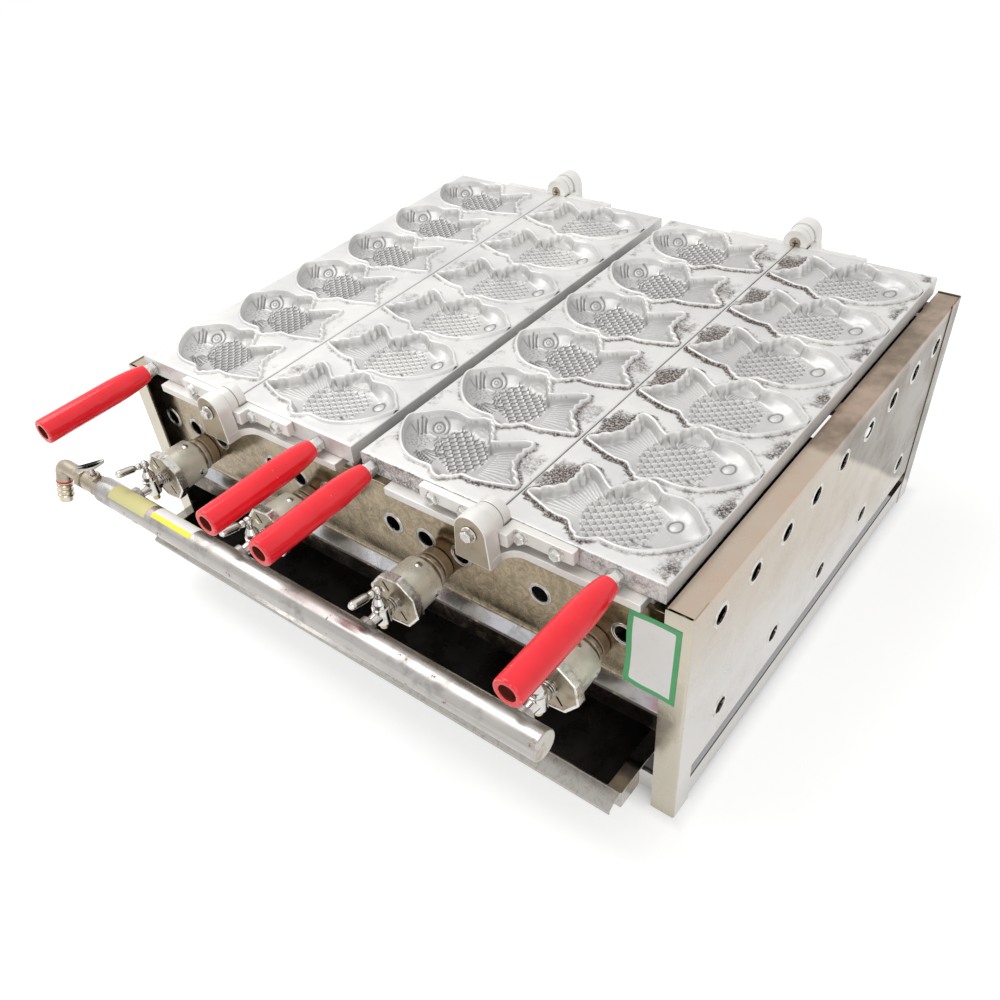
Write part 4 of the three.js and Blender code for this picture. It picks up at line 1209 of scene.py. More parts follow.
@dataclass(frozen=True)
class Stroke:
    """A ridge or groove on the cavity's floor, along a line."""

    line: tuple[Flat, ...]
    height: float
    width: float = 0.7

    def points(self) -> np.ndarray:
        """Returns sample points along the stroke, on its crest and on its flanks."""
        made = []
        for (x0, y0), (x1, y1) in zip(self.line, self.line[1:]):
            run = math.hypot(x1 - x0, y1 - y0)
            across = (-(y1 - y0) / run, (x1 - x0) / run)
            for k in range(max(1, round(run / 1.6)) + 1):
                t = k / max(1, round(run / 1.6))
                for offset in (-1.7, -0.85, 0.0, 0.85, 1.7):
                    made.append((x0 + (x1 - x0) * t + across[0] * offset * self.width,
                                 y0 + (y1 - y0) * t + across[1] * offset * self.width))
        return np.array(made)

    def lift(self, points: np.ndarray) -> np.ndarray:
        """Returns the stroke's height at each point."""
        best = np.full(len(points), 1e6)
        for (x0, y0), (x1, y1) in zip(self.line, self.line[1:]):
            run = np.array((x1 - x0, y1 - y0))
            share = np.clip(((points - (x0, y0)) @ run) / (run @ run), 0, 1)
            gap = points - (x0, y0) - share[:, None] * run
            best = np.minimum(best, (gap**2).sum(1))
        return self.height * np.exp(-best / self.width**2)


def arc(centre: Flat, radius: Flat, start: float, stop: float, steps: int = 12) -> tuple[Flat, ...]:
    """Returns an elliptical arc between two angles in degrees."""
    angles = [math.radians(start + (stop - start) * k / steps) for k in range(steps + 1)]
    return tuple((centre[0] + radius[0] * math.cos(a), centre[1] + radius[1] * math.sin(a)) for a in angles)


def curve(first: Flat, middle: Flat, last: Flat, steps: int = 8) -> tuple[Flat, ...]:
    """Returns a curved line that bends towards its middle point."""
    made = []
    for k in range(steps + 1):
        t = k / steps
        made.append(tuple((1 - t) ** 2 * a + 2 * t * (1 - t) * b + t * t * c for a, b, c in zip(first, middle, last)))
    return tuple(made)


def outward(ring: np.ndarray) -> np.ndarray:
    """Returns the outward direction at each point of a counter-clockwise ring."""
    ahead = np.roll(ring, -1, axis=0) - np.roll(ring, 1, axis=0)
    return np.stack([ahead[:, 1], -ahead[:, 0]], 1) / np.linalg.norm(ahead, axis=1)[:, None]


@dataclass
class FishCavity:
    """One fish-shaped cavity with its bead, head towards +X: how high the plate's face is at each place."""

    left_kind: bool
    outline: tuple[Flat, ...] = (
        (-77.6, -22.1), (-59.6, -29.1), (-41.3, -34.3), (-26.3, -34.5), (-21.3, -39), (-11.5, -45.9), (-6.7, -49.3),
        (1.1, -46.1), (8.4, -40.4), (22.1, -40.8), (35.5, -39.3), (48.4, -33.5), (60.2, -24), (70.4, -11.9), (77.5, 0),
        (80.9, 10.4), (79.2, 16.7), (71.7, 23.1), (61.3, 33.6), (49.6, 39.8), (38, 41.3), (24.3, 39.7), (14.1, 46.5),
        (6.8, 48.2), (0.9, 45.4), (-4.5, 39.6), (-10.6, 30.9), (-17.9, 21), (-26.8, 25.8), (-37.4, 34), (-47.1, 38.7),
        (-52.9, 39.4), (-55.3, 36.9), (-53, 27.4), (-52.8, 19), (-53.4, 10), (-56, 2.1), (-65.7, -7.2), (-71.7, -14.2))
    ripples: tuple[tuple[int, int, int, float], ...] = ((32, 39, 6, 1.5), (23, 27, 4, 1.1), (4, 6, 2, 0.7))
    bead_half: float = 2.0
    bead_height: float = 3.2
    depth: float = 10.6
    belly: float = 3.0
    scale_length: float = 11.6
    scale_width: float = 8.8
    scale_lean: float = 0.18
    ring_gaps: tuple[float, ...] = (-3.2, -2.3, -1.5, -0.7, 0.1, 0.9, 1.6, 2.2, 3.0, 3.9, 4.8, 5.6, 6.6)
    stroke_room: float = 3.4
    scale_room: float = 4.6
    grid_room: float = 7.4
    grid_step: float = 1.5
    closest: float = 0.42

    def __post_init__(self) -> None:
        """Cuts the outline into short steps, ripples the fins' edges and lays out the strokes."""
        count = len(self.outline)
        marks: list[Triple] = []
        for i in range(count):
            a, b = Vector(self.outline[i]), Vector(self.outline[(i + 1) % count])
            parts = max(1, round((b - a).length / 1.3))
            for k in range(parts):
                t = k / parts
                before, after = Vector(self.outline[i - 1]), Vector(self.outline[(i + 2) % count])
                bend = 0.5 * (2 * a + (b - before) * t + (2 * before - 5 * a + 4 * b - after) * t**2
                              + (3 * a - before - 3 * b + after) * t**3)
                straight = a + (b - a) * t
                place = bend * 0.7 + straight * 0.3
                marks.append((place.x, place.y, i + t))
        ring = np.array([m[:2] for m in marks])
        away = outward(ring)
        for first, last, bumps, size in self.ripples:
            for i, (_, _, where) in enumerate(marks):
                if first <= where <= last:
                    share = (where - first) / (last - first)
                    ring[i] += away[i] * size * (2 * abs(math.sin(math.pi * bumps * share)) ** 0.7 - 1)
        self.ring = ring
        self.scale_power = 1.9 if self.left_kind else 1.35
        self.eye = (53.0, 24.0) if self.left_kind else (47.5, 20.5)
        self.strokes = self.left_strokes() if self.left_kind else self.right_strokes()
        self.strokes += [Stroke(((-18 + k * 4.6, -33.5 - k * 1.4), (-15.5 + k * 4.4, -41 - k * 0.3)), 0.8, 0.8)
                         for k in range(5)]

    def tail_strokes(self, count: int, height: float) -> list[Stroke]:
        """Returns the tail's grooves, from its root to near its edge."""
        roots = ((-26.5, 16.0), (-30.0, -1.0), (-30.0, -15.5))
        tips = ((-47.5, 33.0), (-47.5, 12.0), (-51.5, 0.0), (-66.0, -19.0))
        made = []
        for k in range(count):
            t = k / (count - 1)
            root = curve(*roots, steps=count - 1)[k]
            place = t * 3
            i = min(2, int(place))
            tip = tuple(a + (b - a) * (place - i) for a, b in zip(tips[i], tips[i + 1]))
            made.append(Stroke((root, tip), height, 0.75))
        return made

    def right_strokes(self) -> list[Stroke]:
        """Returns the strokes of the right-hand fish."""
        made = self.tail_strokes(13, 0.45)
        made += [Stroke(arc(self.eye, (6.4, 6.4), 0, 360, 24), -1.0, 0.85),
                 Stroke(arc(self.eye, (9.6, 9.6), 20, 200, 14), 0.5, 0.6)]
        for bend, height, width in ((((70.0, 0.5), (72.0, 5.0), (75.0, 10.5)), 1.2, 1.3),
                                    (((63.0, -7.5), (70.0, -2.0), (74.5, 5.0)), -0.6, 0.7),
                                    (((22.0, -13.0), (30.0, -10.5), (43.0, -12.5)), 1.1, 0.9),
                                    (((22.0, -13.0), (32.0, -16.5), (43.0, -12.5)), -1.0, 0.9)):
            made.append(Stroke(curve(*bend), height, width))
        for k in range(12):
            x = -13.5 + k * 3.0
            made.append(Stroke(((x, 24.5 + k * 0.9), (x + 2.2, 29.0 + k * 0.8)), -0.6, 0.7))
        for k in range(6):
            cheek = curve((50.0 + k * 2.4, 8.0 - k), (53.0 + k * 2.2, -2.0), (52.0 + k * 2.6, -14.0 + k * 1.6))
            made.append(Stroke(cheek, 0.28, 0.5))
        return made

    def left_strokes(self) -> list[Stroke]:
        """Returns the strokes of the left-hand fish."""
        made = self.tail_strokes(11, 0.55)
        made += [Stroke(arc(self.eye, (5.9, 5.9), 0, 360, 24), -1.0, 0.85),
                 Stroke(arc(self.eye, (2.4, 2.4), 0, 360, 12), -0.7, 0.6),
                 Stroke(arc((53.0, 24.5), (10.2, 10.2), 85, 200, 12), -1.0, 0.85)]
        lips = (((60.5, 11.3), (66.5, 19.0), (69.0, 25.5), -1.2), ((62.6, 8.2), (67.5, 15.0), (72.0, 21.0), -1.0),
                ((65.2, 5.7), (71.0, 12.0), (75.0, 17.0), -1.0), ((68.3, 6.7), (71.9, 8.2), (76.0, 9.5), -0.7),
                ((61.5, 9.8), (67.2, 17.0), (70.8, 23.2), 0.7), ((64.0, 7.0), (69.3, 13.5), (73.6, 19.0), 0.7))
        gill = (((46.2, 7.6), (45.5, 10.5), (46.2, 13.8), -0.8), ((32.0, -3.7), (34.0, 1.0), (36.0, 8.0), -0.9),
                ((41.0, 2.0), (43.5, 8.0), (42.4, 15.0), -0.8), ((58.0, 13.0), (50.0, 12.0), (43.0, 15.5), 0.8))
        made += [Stroke(curve(*bend), height, 0.95) for *bend, height in lips + gill]
        rays = (((44.0, -7.5), (24.0, -4.0), (13.5, -4.8)), ((44.0, -9.0), (30.0, -8.5), (17.0, -6.0)),
                ((44.5, -10.5), (33.0, -13.0), (22.0, -9.0)), ((44.5, -11.8), (38.0, -14.0), (26.0, -15.0)),
                ((44.8, -13.5), (40.0, -17.0), (29.5, -19.0)), ((46.8, -15.5), (42.0, -19.0), (33.5, -22.5)),
                ((47.0, -18.0), (42.5, -22.0), (36.0, -25.0)))
        made += [Stroke(curve(*ray), -1.1, 0.85) for ray in rays]
        for k in range(26):
            turn = 2.399 * k
            spread = 1.6 * math.sqrt(k + 0.5)
            spot = (58.0 + spread * math.cos(turn) * 1.3, -2.0 + spread * math.sin(turn) * 1.5)
            made.append(Stroke((spot, (spot[0] + 1.6 * math.cos(k), spot[1] + 1.6 * math.sin(k))), -0.7, 0.75))
        for k in range(8):
            made.append(Stroke(((49.0 - k * 3.2, -15.0 - k * 0.5), (46.5 - k * 3.4, -22.0 - k * 0.9)), -1.1, 0.65))
        for k in range(10):
            made.append(Stroke(((-9.0 + k * 2.2, 33.5 + k * 0.7), (-3.5 + k * 1.5, 38.0 + k * 0.7)), 0.7, 0.55))
        return made

    def distance(self, points: np.ndarray) -> np.ndarray:
        """Measures distances to the outline, above zero inside.

        Args:
            points: Array of N by 2.

        Returns:
            Array of N distances.
        """
        ends = np.roll(self.ring, -1, axis=0)
        runs = ends - self.ring
        lengths = (runs**2).sum(1)
        best = np.full(len(points), 1e9)
        for start in range(0, len(points), 4000):
            part = points[start:start + 4000]
            offsets = part[:, None, :] - self.ring[None]
            share = np.clip((offsets * runs).sum(2) / lengths, 0, 1)
            gap = offsets - share[..., None] * runs
            best[start:start + 4000] = np.sqrt((gap**2).sum(2).min(1))
        return np.where(inside(points, [tuple(p) for p in self.ring]), best, -best)

    def scaled(self, points: np.ndarray) -> np.ndarray:
        """Tells how far each point is in the scaled part of the body, from 0 to 1.

        Args:
            points: Array of N by 2.

        Returns:
            Array of N shares.
        """
        x, y = points[:, 0], points[:, 1]
        if self.left_kind:
            gill = 43.0 - 0.02 * (y - 10) ** 2 + np.where(y < -4, (y + 4) * 0.9, 0)
            rear = -22.0 + 0.012 * (y - 5) ** 2
        else:
            gill = 38.0 - 0.012 * (y - 8) ** 2 + np.where(y < 0, -y * 0.35, 0) + np.where(y > 24, (24 - y) * 0.8, 0)
            rear = -31.0 + 0.014 * (y - 2) ** 2
        before, behind, below = (np.clip(room / 1.2, 0, 1) for room in (gill - x, x - rear, 29 + 0.25 * x - y))
        return before * behind * below

    def scale_cells(self, points: np.ndarray) -> tuple[np.ndarray, np.ndarray]:
        """Finds the scale that shows at each point.

        Args:
            points: Array of N by 2.

        Returns:
            Distance from the scale's free edge, and distance from its middle line as a share of its half width.
        """
        x, y = points[:, 0] + points[:, 1] * self.scale_lean, points[:, 1]
        length, width = self.scale_length, self.scale_width
        edge = np.full(len(points), -1.0)
        side = np.zeros(len(points))
        power = self.scale_power
        base = np.floor(x / (length / 2))
        for step in range(-1, 4):
            column = base + step
            shift = np.where(column % 2 == 0, 0.0, width / 2)
            across = y - (np.round((y - shift) / width) * width + shift)
            share = np.abs(across) / (width / 2)
            rear = column * length / 2 - length * 0.5 * (1 - share**power)
            seen = x >= rear
            edge = np.where(seen, x - rear, edge)
            side = np.where(seen, share, side)
        return edge, side

    def samples(self) -> np.ndarray:
        """Chooses where the face is sampled: rings along the bead and the wall, scales, strokes and a grid.

        Returns:
            Array of N by 2.
        """
        away = outward(self.ring)
        rings = []
        for gap in self.ring_gaps:
            ring = self.ring - away * gap
            ring = ring[(np.abs(np.abs(self.distance(ring)) - abs(gap)) < 0.25)]
            rings.append(ring[np.sort(np.unique(np.round(ring / 0.6), axis=0, return_index=True)[1])])
        strokes = np.concatenate([stroke.points() for stroke in self.strokes])
        strokes = strokes[self.distance(strokes) > self.stroke_room]
        arcs = []
        depths = np.array((-0.25, 0.3, 1.0, 2.2, 3.4))
        for column in range(-14, 26):
            for k in range(-7, 8):
                middle = (k + (column % 2) / 2) * self.scale_width
                for share in np.linspace(-0.94, 0.94, 9):
                    rear = (column - 1 + abs(share) ** self.scale_power) * self.scale_length / 2
                    y = middle + share * self.scale_width / 2
                    arcs += [(rear + depth - y * self.scale_lean, y, depth) for depth in depths]
        arcs = np.array(arcs)
        seen = np.abs(self.scale_cells(arcs[:, :2] + (0.3, 0))[0] - arcs[:, 2] - 0.3) < 0.15
        edges = arcs[seen, :2]
        edges = edges[(self.scaled(edges) > 0.05) & (self.distance(edges) > self.scale_room)]
        step = self.grid_step
        xs = np.arange(-84, 84, step)
        ys = np.arange(-51, 51, step * 0.866)
        grid = np.array([(x + (k % 2) * step / 2, y) for k, y in enumerate(ys) for x in xs])
        grid = grid[(self.distance(grid) > self.grid_room) & (self.scaled(grid) < 0.05)]
        found = np.concatenate([*rings, edges, strokes, grid])
        cells = np.unique(np.round(found / self.closest), axis=0, return_index=True)[1]
        log.info("fish sampled at %d points", len(cells))
        return found[np.sort(cells)]

    def height(self, points: np.ndarray, gap: np.ndarray) -> np.ndarray:
        """Gives the height of the face over the plate's flat.

        Args:
            points: Array of N by 2.
            gap: Their distances to the outline.

        Returns:
            Array of N heights, in millimetres.
        """
        x, y = points[:, 0], points[:, 1]
        bead = self.bead_height * np.sqrt(np.clip(1 - (gap / (self.bead_half + 0.3)) ** 2, 0, 1))
        head = np.clip((x - 26) / 22, 0, 1) if not self.left_kind else np.clip((x - 20) / 26, 0, 1)
        under = np.clip((-18 - y) / 14, 0, 1) * np.clip((x + 2) / 16, 0, 1)
        soft = np.maximum(head, under)
        run = 3.0 + 15.0 * soft
        start = self.bead_half * 0.75
        fall = np.clip((gap - start) / run, 0, 1)
        steep = fall * fall * (3 - 2 * fall)
        bowl = np.sqrt(np.clip(1 - (1 - fall) ** 2, 0, 1))
        wall = steep * (1 - soft) + bowl * soft
        dome = self.belly * (1 - (1 - np.clip((gap - 5) / 22, 0, 1)) ** 2) * np.clip(1 - ((x - 22) / 62) ** 2, 0, 1)
        fin = np.clip((-20 - x) / 8, 0, 1) + np.clip((y - 26 - 0.2 * x) / 5, 0, 1) * np.clip((22 - x) / 4, 0, 1)
        floor = -(self.depth - 2.2 * np.clip(fin, 0, 1)) - dome
        base = np.where(gap < start, bead, bead * (1 - wall) + floor * wall)
        base = np.where(gap < -self.bead_half - 0.3, 0.0, base)
        soft_start = np.where(x > 40, 2.0, 4.4)
        return base + self.relief(points) * np.clip((gap - soft_start) / 2.2, 0, 1)

    def hollow(self, points: np.ndarray) -> np.ndarray:
        """Tells how much painted shade the floor gets at each point: at the feet of the scales' edges, on the scales,
        on the rest of the floor and in the grooves.

        Args:
            points: Array of N by 2.

        Returns:
            Array of N shares.
        """
        edge, side = self.scale_cells(points)
        power = self.scale_power
        reach = self.scale_length / 2 * (1 + (1 - side) ** power - side**power)
        depth = (1.0, 0.55, 0.36) if self.left_kind else (0.95, 0.42, 0.24)
        # painted shade at the foot of the next scale's edge, on its low side
        foot = depth[0] * np.exp(-(((reach - edge) / 1.1) ** 2))
        made = np.maximum(foot, depth[1] * np.clip((edge - 1.6) / 2.0, 0, 1)) * self.scaled(points)
        made = np.maximum(made, depth[2] * (1 - self.scaled(points)))
        for stroke in self.strokes:
            lift = stroke.lift(points)
            made = np.maximum(made, -1.3 * lift if stroke.height < 0 else 0.0)
        return np.clip(made, 0, 1)

    def relief(self, points: np.ndarray) -> np.ndarray:
        """Gives the pattern on the cavity's floor: scales, eye, gill, fins and tail.

        Args:
            points: Array of N by 2.

        Returns:
            Array of N heights.
        """
        x, y = points[:, 0], points[:, 1]
        edge = self.scale_cells(points)[0]
        size = 1.2 if self.left_kind else 1.0
        dish = size * (0.65 * np.exp(-(((edge - 0.55) / 0.75) ** 2)) + 0.55 * np.clip(1 - edge / 5.0, 0, 1))
        made = dish * self.scaled(points)
        eye = np.hypot(x - self.eye[0], y - self.eye[1])
        made += 1.2 * np.clip(1 - (eye / 4.4) ** 2, 0, 1)
        for stroke in self.strokes:
            made += stroke.lift(points)
        return made


@dataclass
class MouldPlate:
    """A mould plate with six cavities in its face."""

    side: Side
    fish: FishCavity
    width: float = 167.8
    rows: int = 6
    edge: float = 1.4
    columns: int = 36
    lines: int = 124
    reach: float = 0.62

    def face(self) -> tuple[np.ndarray, np.ndarray, list[tuple[int, ...]]]:
        """Shapes the face of a plate round its own middle, with the heads towards +X.

        Returns:
            Points of N by 3, marks, and triangles.
        """
        half_x = self.width / 2 - self.edge
        half_y = LAYOUT.rear_face - self.edge
        pitch = (2 * LAYOUT.rear_face - 20) / self.rows
        rows = [(k - (self.rows - 1) / 2) * pitch for k in range(self.rows)]
        local = self.fish.samples()
        local_gap = self.fish.distance(local)
        flat = []
        for place in rows:
            moved = local + (0, place)
            near = np.ones(len(moved), bool)
            for other in rows:
                if abs(abs(other - place) - pitch) < 1:
                    gap = self.fish.distance(moved - (0, other))
                    near &= (gap < -3.6) | (np.abs(gap) < np.abs(local_gap)) & (gap < 0) | (local_gap > gap)
            flat.append(moved[near])
        xs = np.linspace(-half_x, half_x, self.columns)
        ys = np.linspace(-half_y, half_y, self.lines)
        open_grid = np.array([(x, y) for x in xs[1:-1] for y in ys[1:-1]])
        gaps = self.gaps(open_grid, rows)
        open_grid = open_grid[gaps < -4.2]
        border = [(x, s * half_y) for x in xs for s in (-1, 1)] + [(s * half_x, y) for y in ys[1:-1] for s in (-1, 1)]
        flat_points = np.concatenate([*flat, open_grid, np.array(border)])
        keep = (np.abs(flat_points[:, 0]) <= half_x + 1e-6) & (np.abs(flat_points[:, 1]) <= half_y + 1e-6)
        cut, _, faces, _, _, _ = delaunay_2d_cdt([Vector(p) for p in flat_points[keep]], [], [], 0, 1e-4, False)
        spread = np.array(cut)
        height = np.zeros(len(spread))
        best = np.full(len(spread), -1e9)
        for place in rows:
            near = np.abs(spread[:, 1] - place) < pitch * self.reach
            part = spread[near] - (0, place)
            gap = self.fish.distance(part)
            level = self.fish.height(part, gap)
            use = gap > best[near]
            ids = np.nonzero(near)[0]
            height[ids[use]] = np.where(gap[use] < -2.7, height[ids[use]], level[use])
            best[ids[use]] = gap[use]
        phase = np.mod(spread[:, 1] + half_y, pitch) / pitch
        heavy = 1.0 if self.side is Side.RIGHT else 0.6
        rim = 0.3 + 0.55 * heavy * np.clip((0.62 - phase) * 3, 0, 1) * np.clip(0.4 - spread[:, 0] / 50, 0, 1)
        around = np.exp(-((best + 3.0) / 1.5) ** 2) * rim
        # painted shade at the foot of each cavity's wall, carried in the soot mark
        around += 0.16 * np.exp(-((best - 4.6) / 1.2) ** 2)
        tail = np.exp(-((spread[:, 0] + 66) / 26) ** 2) * np.exp(-((phase - 0.72) / 0.26) ** 2) * (best < -2.4)
        head = np.exp(-((spread[:, 0] - 79) / 12) ** 2) * np.exp(-((phase - 0.12) / 0.3) ** 2) * (best < -2.4)
        marks = np.clip(around + heavy * (0.66 * tail + 0.5 * head + 0.14), 0, 1)
        # painted shade inside the cavities, carried as marks below zero
        hollow = np.zeros(len(spread))
        for place in rows:
            near = (np.abs(spread[:, 1] - place) < pitch * self.reach) & (best > 2.2)
            part = spread[near] - (0, place)
            own = self.fish.distance(part) > 2.0
            ids = np.nonzero(near)[0][own]
            hollow[ids] = self.fish.hollow(part[own])
        marks = np.where(hollow > 0.05, -hollow, marks)
        return np.column_stack([spread, height]), marks, [tuple(f) for f in faces]

    def gaps(self, points: np.ndarray, rows: Sequence[float]) -> np.ndarray:
        """Returns the distance of each point to the nearest cavity's outline, above zero inside."""
        best = np.full(len(points), -1e9)
        for place in rows:
            near = np.abs(points[:, 1] - place) < 60
            best[near] = np.maximum(best[near], self.fish.distance(points[near] - (0, place)))
        return best

    def draft(self, centre: float, top: tuple[np.ndarray, np.ndarray, list[tuple[int, ...]]]) -> Draft:
        """Places the face and closes the plate round it.

        Args:
            centre: The plate's middle along X.
            top: The shaped face.

        Returns:
            The plate's draft.
        """
        side = self.side.value
        points, marks, faces = top
        made = Draft()
        placed = [Vector((centre + side * x, y, LAYOUT.plate_top + z)) for x, y, z in points]
        start = made.add(placed, faces)
        made.marks[start:] = marks.tolist()
        half_x, half_y = self.width / 2, LAYOUT.rear_face
        levels = [(self.edge, LAYOUT.plate_top), (0.4, LAYOUT.plate_top - 0.4), (0.0, LAYOUT.plate_top - self.edge),
                  (0.0, LAYOUT.plate_bottom + self.edge), (0.4, LAYOUT.plate_bottom + 0.4),
                  (self.edge, LAYOUT.plate_bottom)]
        xs = np.linspace(-1, 1, self.columns)
        ys = np.linspace(-1, 1, self.lines)
        ring = [(x, -1) for x in xs] + [(1, y) for y in ys[1:]] + [(x, 1) for x in xs[::-1][1:]]
        ring += [(-1, y) for y in ys[::-1][1:-1]]
        rings = [[Vector((centre + x * (half_x - inset), y * (half_y - inset), z)) for x, y in ring]
                 for inset, z in levels]
        start = len(made.points)
        made.loft(list(reversed(rings)), caps=(True, False))
        for k in range(start, len(made.points)):
            point = made.points[k]
            if point.y < -half_y + 3:
                made.marks[k] = (0.45 if self.side is Side.LEFT else 0.38) if point.z < LAYOUT.plate_top - 0.3 else 0.2
        return made


@dataclass
class PlatePairs:
    """Both pairs of mould plates with their straps, pins, bearers, handle rods and grips."""

    shop: Workshop
    plate_offset: float = 84.65
    plate_gap: float = 0.75
    strap_reach: float = 86.0
    strap_thick: float = 9.0
    strap_height: float = 14.5
    knuckle_radius: float = 15.5
    knuckle_thick: float = 10.4
    web_start: float = 16.1
    web_width: float = 10.0
    seat: float = 0.3
    run: float = 0.6
    bolt_places: tuple[float, float] = (31.0, 69.0)
    bolt_drop: float = 8.0
    pedestal: tuple[float, float] = (22.6, 39.6)
    handle_insets: tuple[float, float] = (14.8, 46.3)
    handle_drop: float = 12.5

    def build(self) -> None:
        """Builds every plate and what it hangs on."""
        kinds = {side: MouldPlate(side, FishCavity(side is Side.LEFT)) for side in Side}
        faces = {side: kinds[side].face() for side in Side}
        for unit, hinge in zip(LAYOUT.units, LAYOUT.hinge_xs):
            for end in End:
                self.bearer(unit, hinge, end)
                self.pin(unit, hinge, end)
            for side in Side:
                label = f"{unit}_unit_{side.name.lower()}"
                body = f"{label}_mould"
                centre = hinge + side.value * self.plate_offset
                mesh = kinds[side].draft(centre, faces[side]).mesh(f"{label}_plate_cast", 50, 0.02)
                finishes = self.shop.finishes
                worn = finishes.clean_plate if label.startswith("left_unit") else finishes.plate
                self.shop.piece(f"{label}_plate_cast", mesh, [worn], body, "cast_plate", [f"{label}_plate"])
                for end in End:
                    self.strap(label, body, hinge, side, end)
                self.handle(label, body, hinge, side)

    def out(self, end: End, distance: float) -> float:
        """Returns the place along Y so far out of the plates' end."""
        return end.value * (LAYOUT.rear_face + distance)

    def span(self, end: End, near: float, far: float) -> Flat:
        """Returns limits along Y from near to far out of the plates' end, lowest first."""
        return tuple(sorted((self.out(end, near), self.out(end, far))))

    def strap(self, label: str, body: str, hinge: float, side: Side, end: End) -> None:
        """Builds a hinge strap with its knuckle and its two bolts.

        Args:
            label: Name of the plate that it is on.
            body: Body that it moves with.
            hinge: Place of the hinge line along X.
            side: Side of the plate.
            end: End of the plate.
        """
        s = side.value
        top, bottom = LAYOUT.plate_top, LAYOUT.plate_top - self.strap_height
        near = self.run if side is Side.LEFT else 2 * self.run + self.knuckle_thick
        far = near + self.knuckle_thick
        made = Draft()
        web = self.web_start + self.web_width
        plan = [(0.0, self.seat), (self.strap_reach, self.seat), (self.strap_reach, self.seat + self.strap_thick),
                (0.0, self.seat + self.strap_thick)]
        if side is Side.RIGHT:
            plan = [(self.web_start, self.seat), (self.strap_reach, self.seat),
                    (self.strap_reach, self.seat + self.strap_thick), (web, self.seat + self.strap_thick),
                    (web, far - 0.5), (web - 5, far - 0.25), (0.0, far - 0.25), (0.0, near + 0.25),
                    (self.web_start, near + 0.25)]
        flat = [(hinge + s * u, self.out(end, w)) for u, w in plan]
        if s * end.value > 0:
            flat.reverse()
        flat.reverse()
        made.block(soften(flat, 2.2, closed=True), Axis.Z, (bottom, top), 1.1)
        disc = round_outline(self.knuckle_radius, 56)
        flat = [(u + LAYOUT.axis_z, v + hinge) for u, v in disc]
        made.block(flat, Axis.Y, self.span(end, near, far), 1.0)
        self.shop.piece(f"{label}_strap_{end.name.lower()}_cast", made.mesh("strap"), [self.shop.finishes.bearer],
                        body, "cast_plate", [f"{label}_strap_{end.name.lower()}"])
        places = [Vector((hinge + s * p, self.out(end, self.seat + self.strap_thick), top - self.bolt_drop))
                  for p in self.bolt_places]
        facing = Vector((-end.value * math.pi / 2, 0, 0))
        self.shop.fitting(f"{label}_bolts_{end.name.lower()}", template_mesh("bolt", hex_bolt(6.7, 5.4)), places,
                          facing, self.shop.finishes.zinc, body, "cast_plate", seed=int(abs(hinge)) + s + 3)

    def pin(self, unit: str, hinge: float, end: End) -> None:
        """Builds a pivot pin with its hexagon head, and a cross-slotted screw head on the rear one.

        Args:
            unit: Name of the pair.
            hinge: Place of the hinge line along X.
            end: End of the plates.
        """
        made = Draft()
        head = self.pedestal[1] + self.seat
        centre = Vector((hinge, 0, LAYOUT.axis_z))
        span = self.span(end, self.run + self.seat, head + 3)
        made.turn([(0, span[0]), (5.0, span[0]), (5.0, span[1]), (0, span[1])], Axis.Y, centre, 24)
        for outline, low, high in ((round_outline(8.0, 32), head, head + 1.6),
                                   (soften(round_outline(6.4, 6, 0), 0.7, closed=True), head + 1.5, head + 6)):
            flat = [(u + LAYOUT.axis_z, v + hinge) for u, v in outline]
            made.block(flat, Axis.Y, self.span(end, low, high), 0.7)
        if end is End.REAR:
            low, high = self.span(end, self.run - 0.25, self.run + self.seat + 3)
            made.turn([(0, low), (6.7, low), (7.2, low + 0.3), (7.2, high), (0, high)], Axis.Y, centre, 28, slot=2)
            x, z = hinge, LAYOUT.axis_z
            # a thin near-black cross of painted shade stands for the screw's slot
            for wide, tall in ((3.6, 0.8), (0.8, 3.6)):
                made.box((x - wide, x + wide), (low - 0.04, low + 1.4), (z - tall, z + tall), 0.03, slot=1)
        name = f"{unit}_unit_hinge_pin_{end.name.lower()}"
        finishes = self.shop.finishes
        self.shop.piece(f"{name}_turned", made.mesh("pin"), [finishes.zinc, finishes.sooty, finishes.nickel],
                        "frame", "zinc_steel", [name])

    def bearer(self, unit: str, hinge: float, end: End) -> None:
        """Builds the bar under the plates' ends, with its bump, pedestal and feet.

        Args:
            unit: Name of the pair.
            hinge: Place of the hinge line along X.
            end: End of the plates.
        """
        left, right, lip, seat = 132.0, 152.0, 11.5, 23.0
        fillet, half = 16.0, 20.0
        low, high = LAYOUT.bearer_bottom, LAYOUT.bearer_top
        made = Draft()
        middle = half + fillet
        bends = [math.radians(a) for a in range(270, 361, 10)]
        bump = [(-middle + fillet * math.cos(a), lip + fillet + fillet * math.sin(a)) for a in bends]
        bump += [(0.4 - half, self.pedestal[1] - 0.4), (half - 0.4, self.pedestal[1] - 0.4)]
        bump += [(-u, w) for u, w in reversed(bump[:len(bends)])]
        line = [(-left, -seat), (-left, lip), *bump, (right, lip), (right, -seat)]
        flat = [(hinge + u, self.out(end, w)) for u, w in line]
        if end is End.REAR:
            flat.reverse()
        made.block(soften(flat, 1.6, closed=True, steps=2), Axis.Z, (low + 0.3, high), 0.9)
        rise = LAYOUT.axis_z - low
        radius = 17.5
        tangent = math.acos(radius / math.hypot(half, rise)) - math.atan2(rise, half)
        sweep = [tangent + (math.pi - 2 * tangent) * k / 30 for k in range(31)]
        stone = [(half, low)] + [(radius * math.cos(a), LAYOUT.axis_z + radius * math.sin(a)) for a in sweep]
        stone += [(-half, low)]
        outline = [(z, hinge + x) for x, z in reversed(stone)]
        made.block(outline, Axis.Y, self.span(end, *self.pedestal), 1.1)
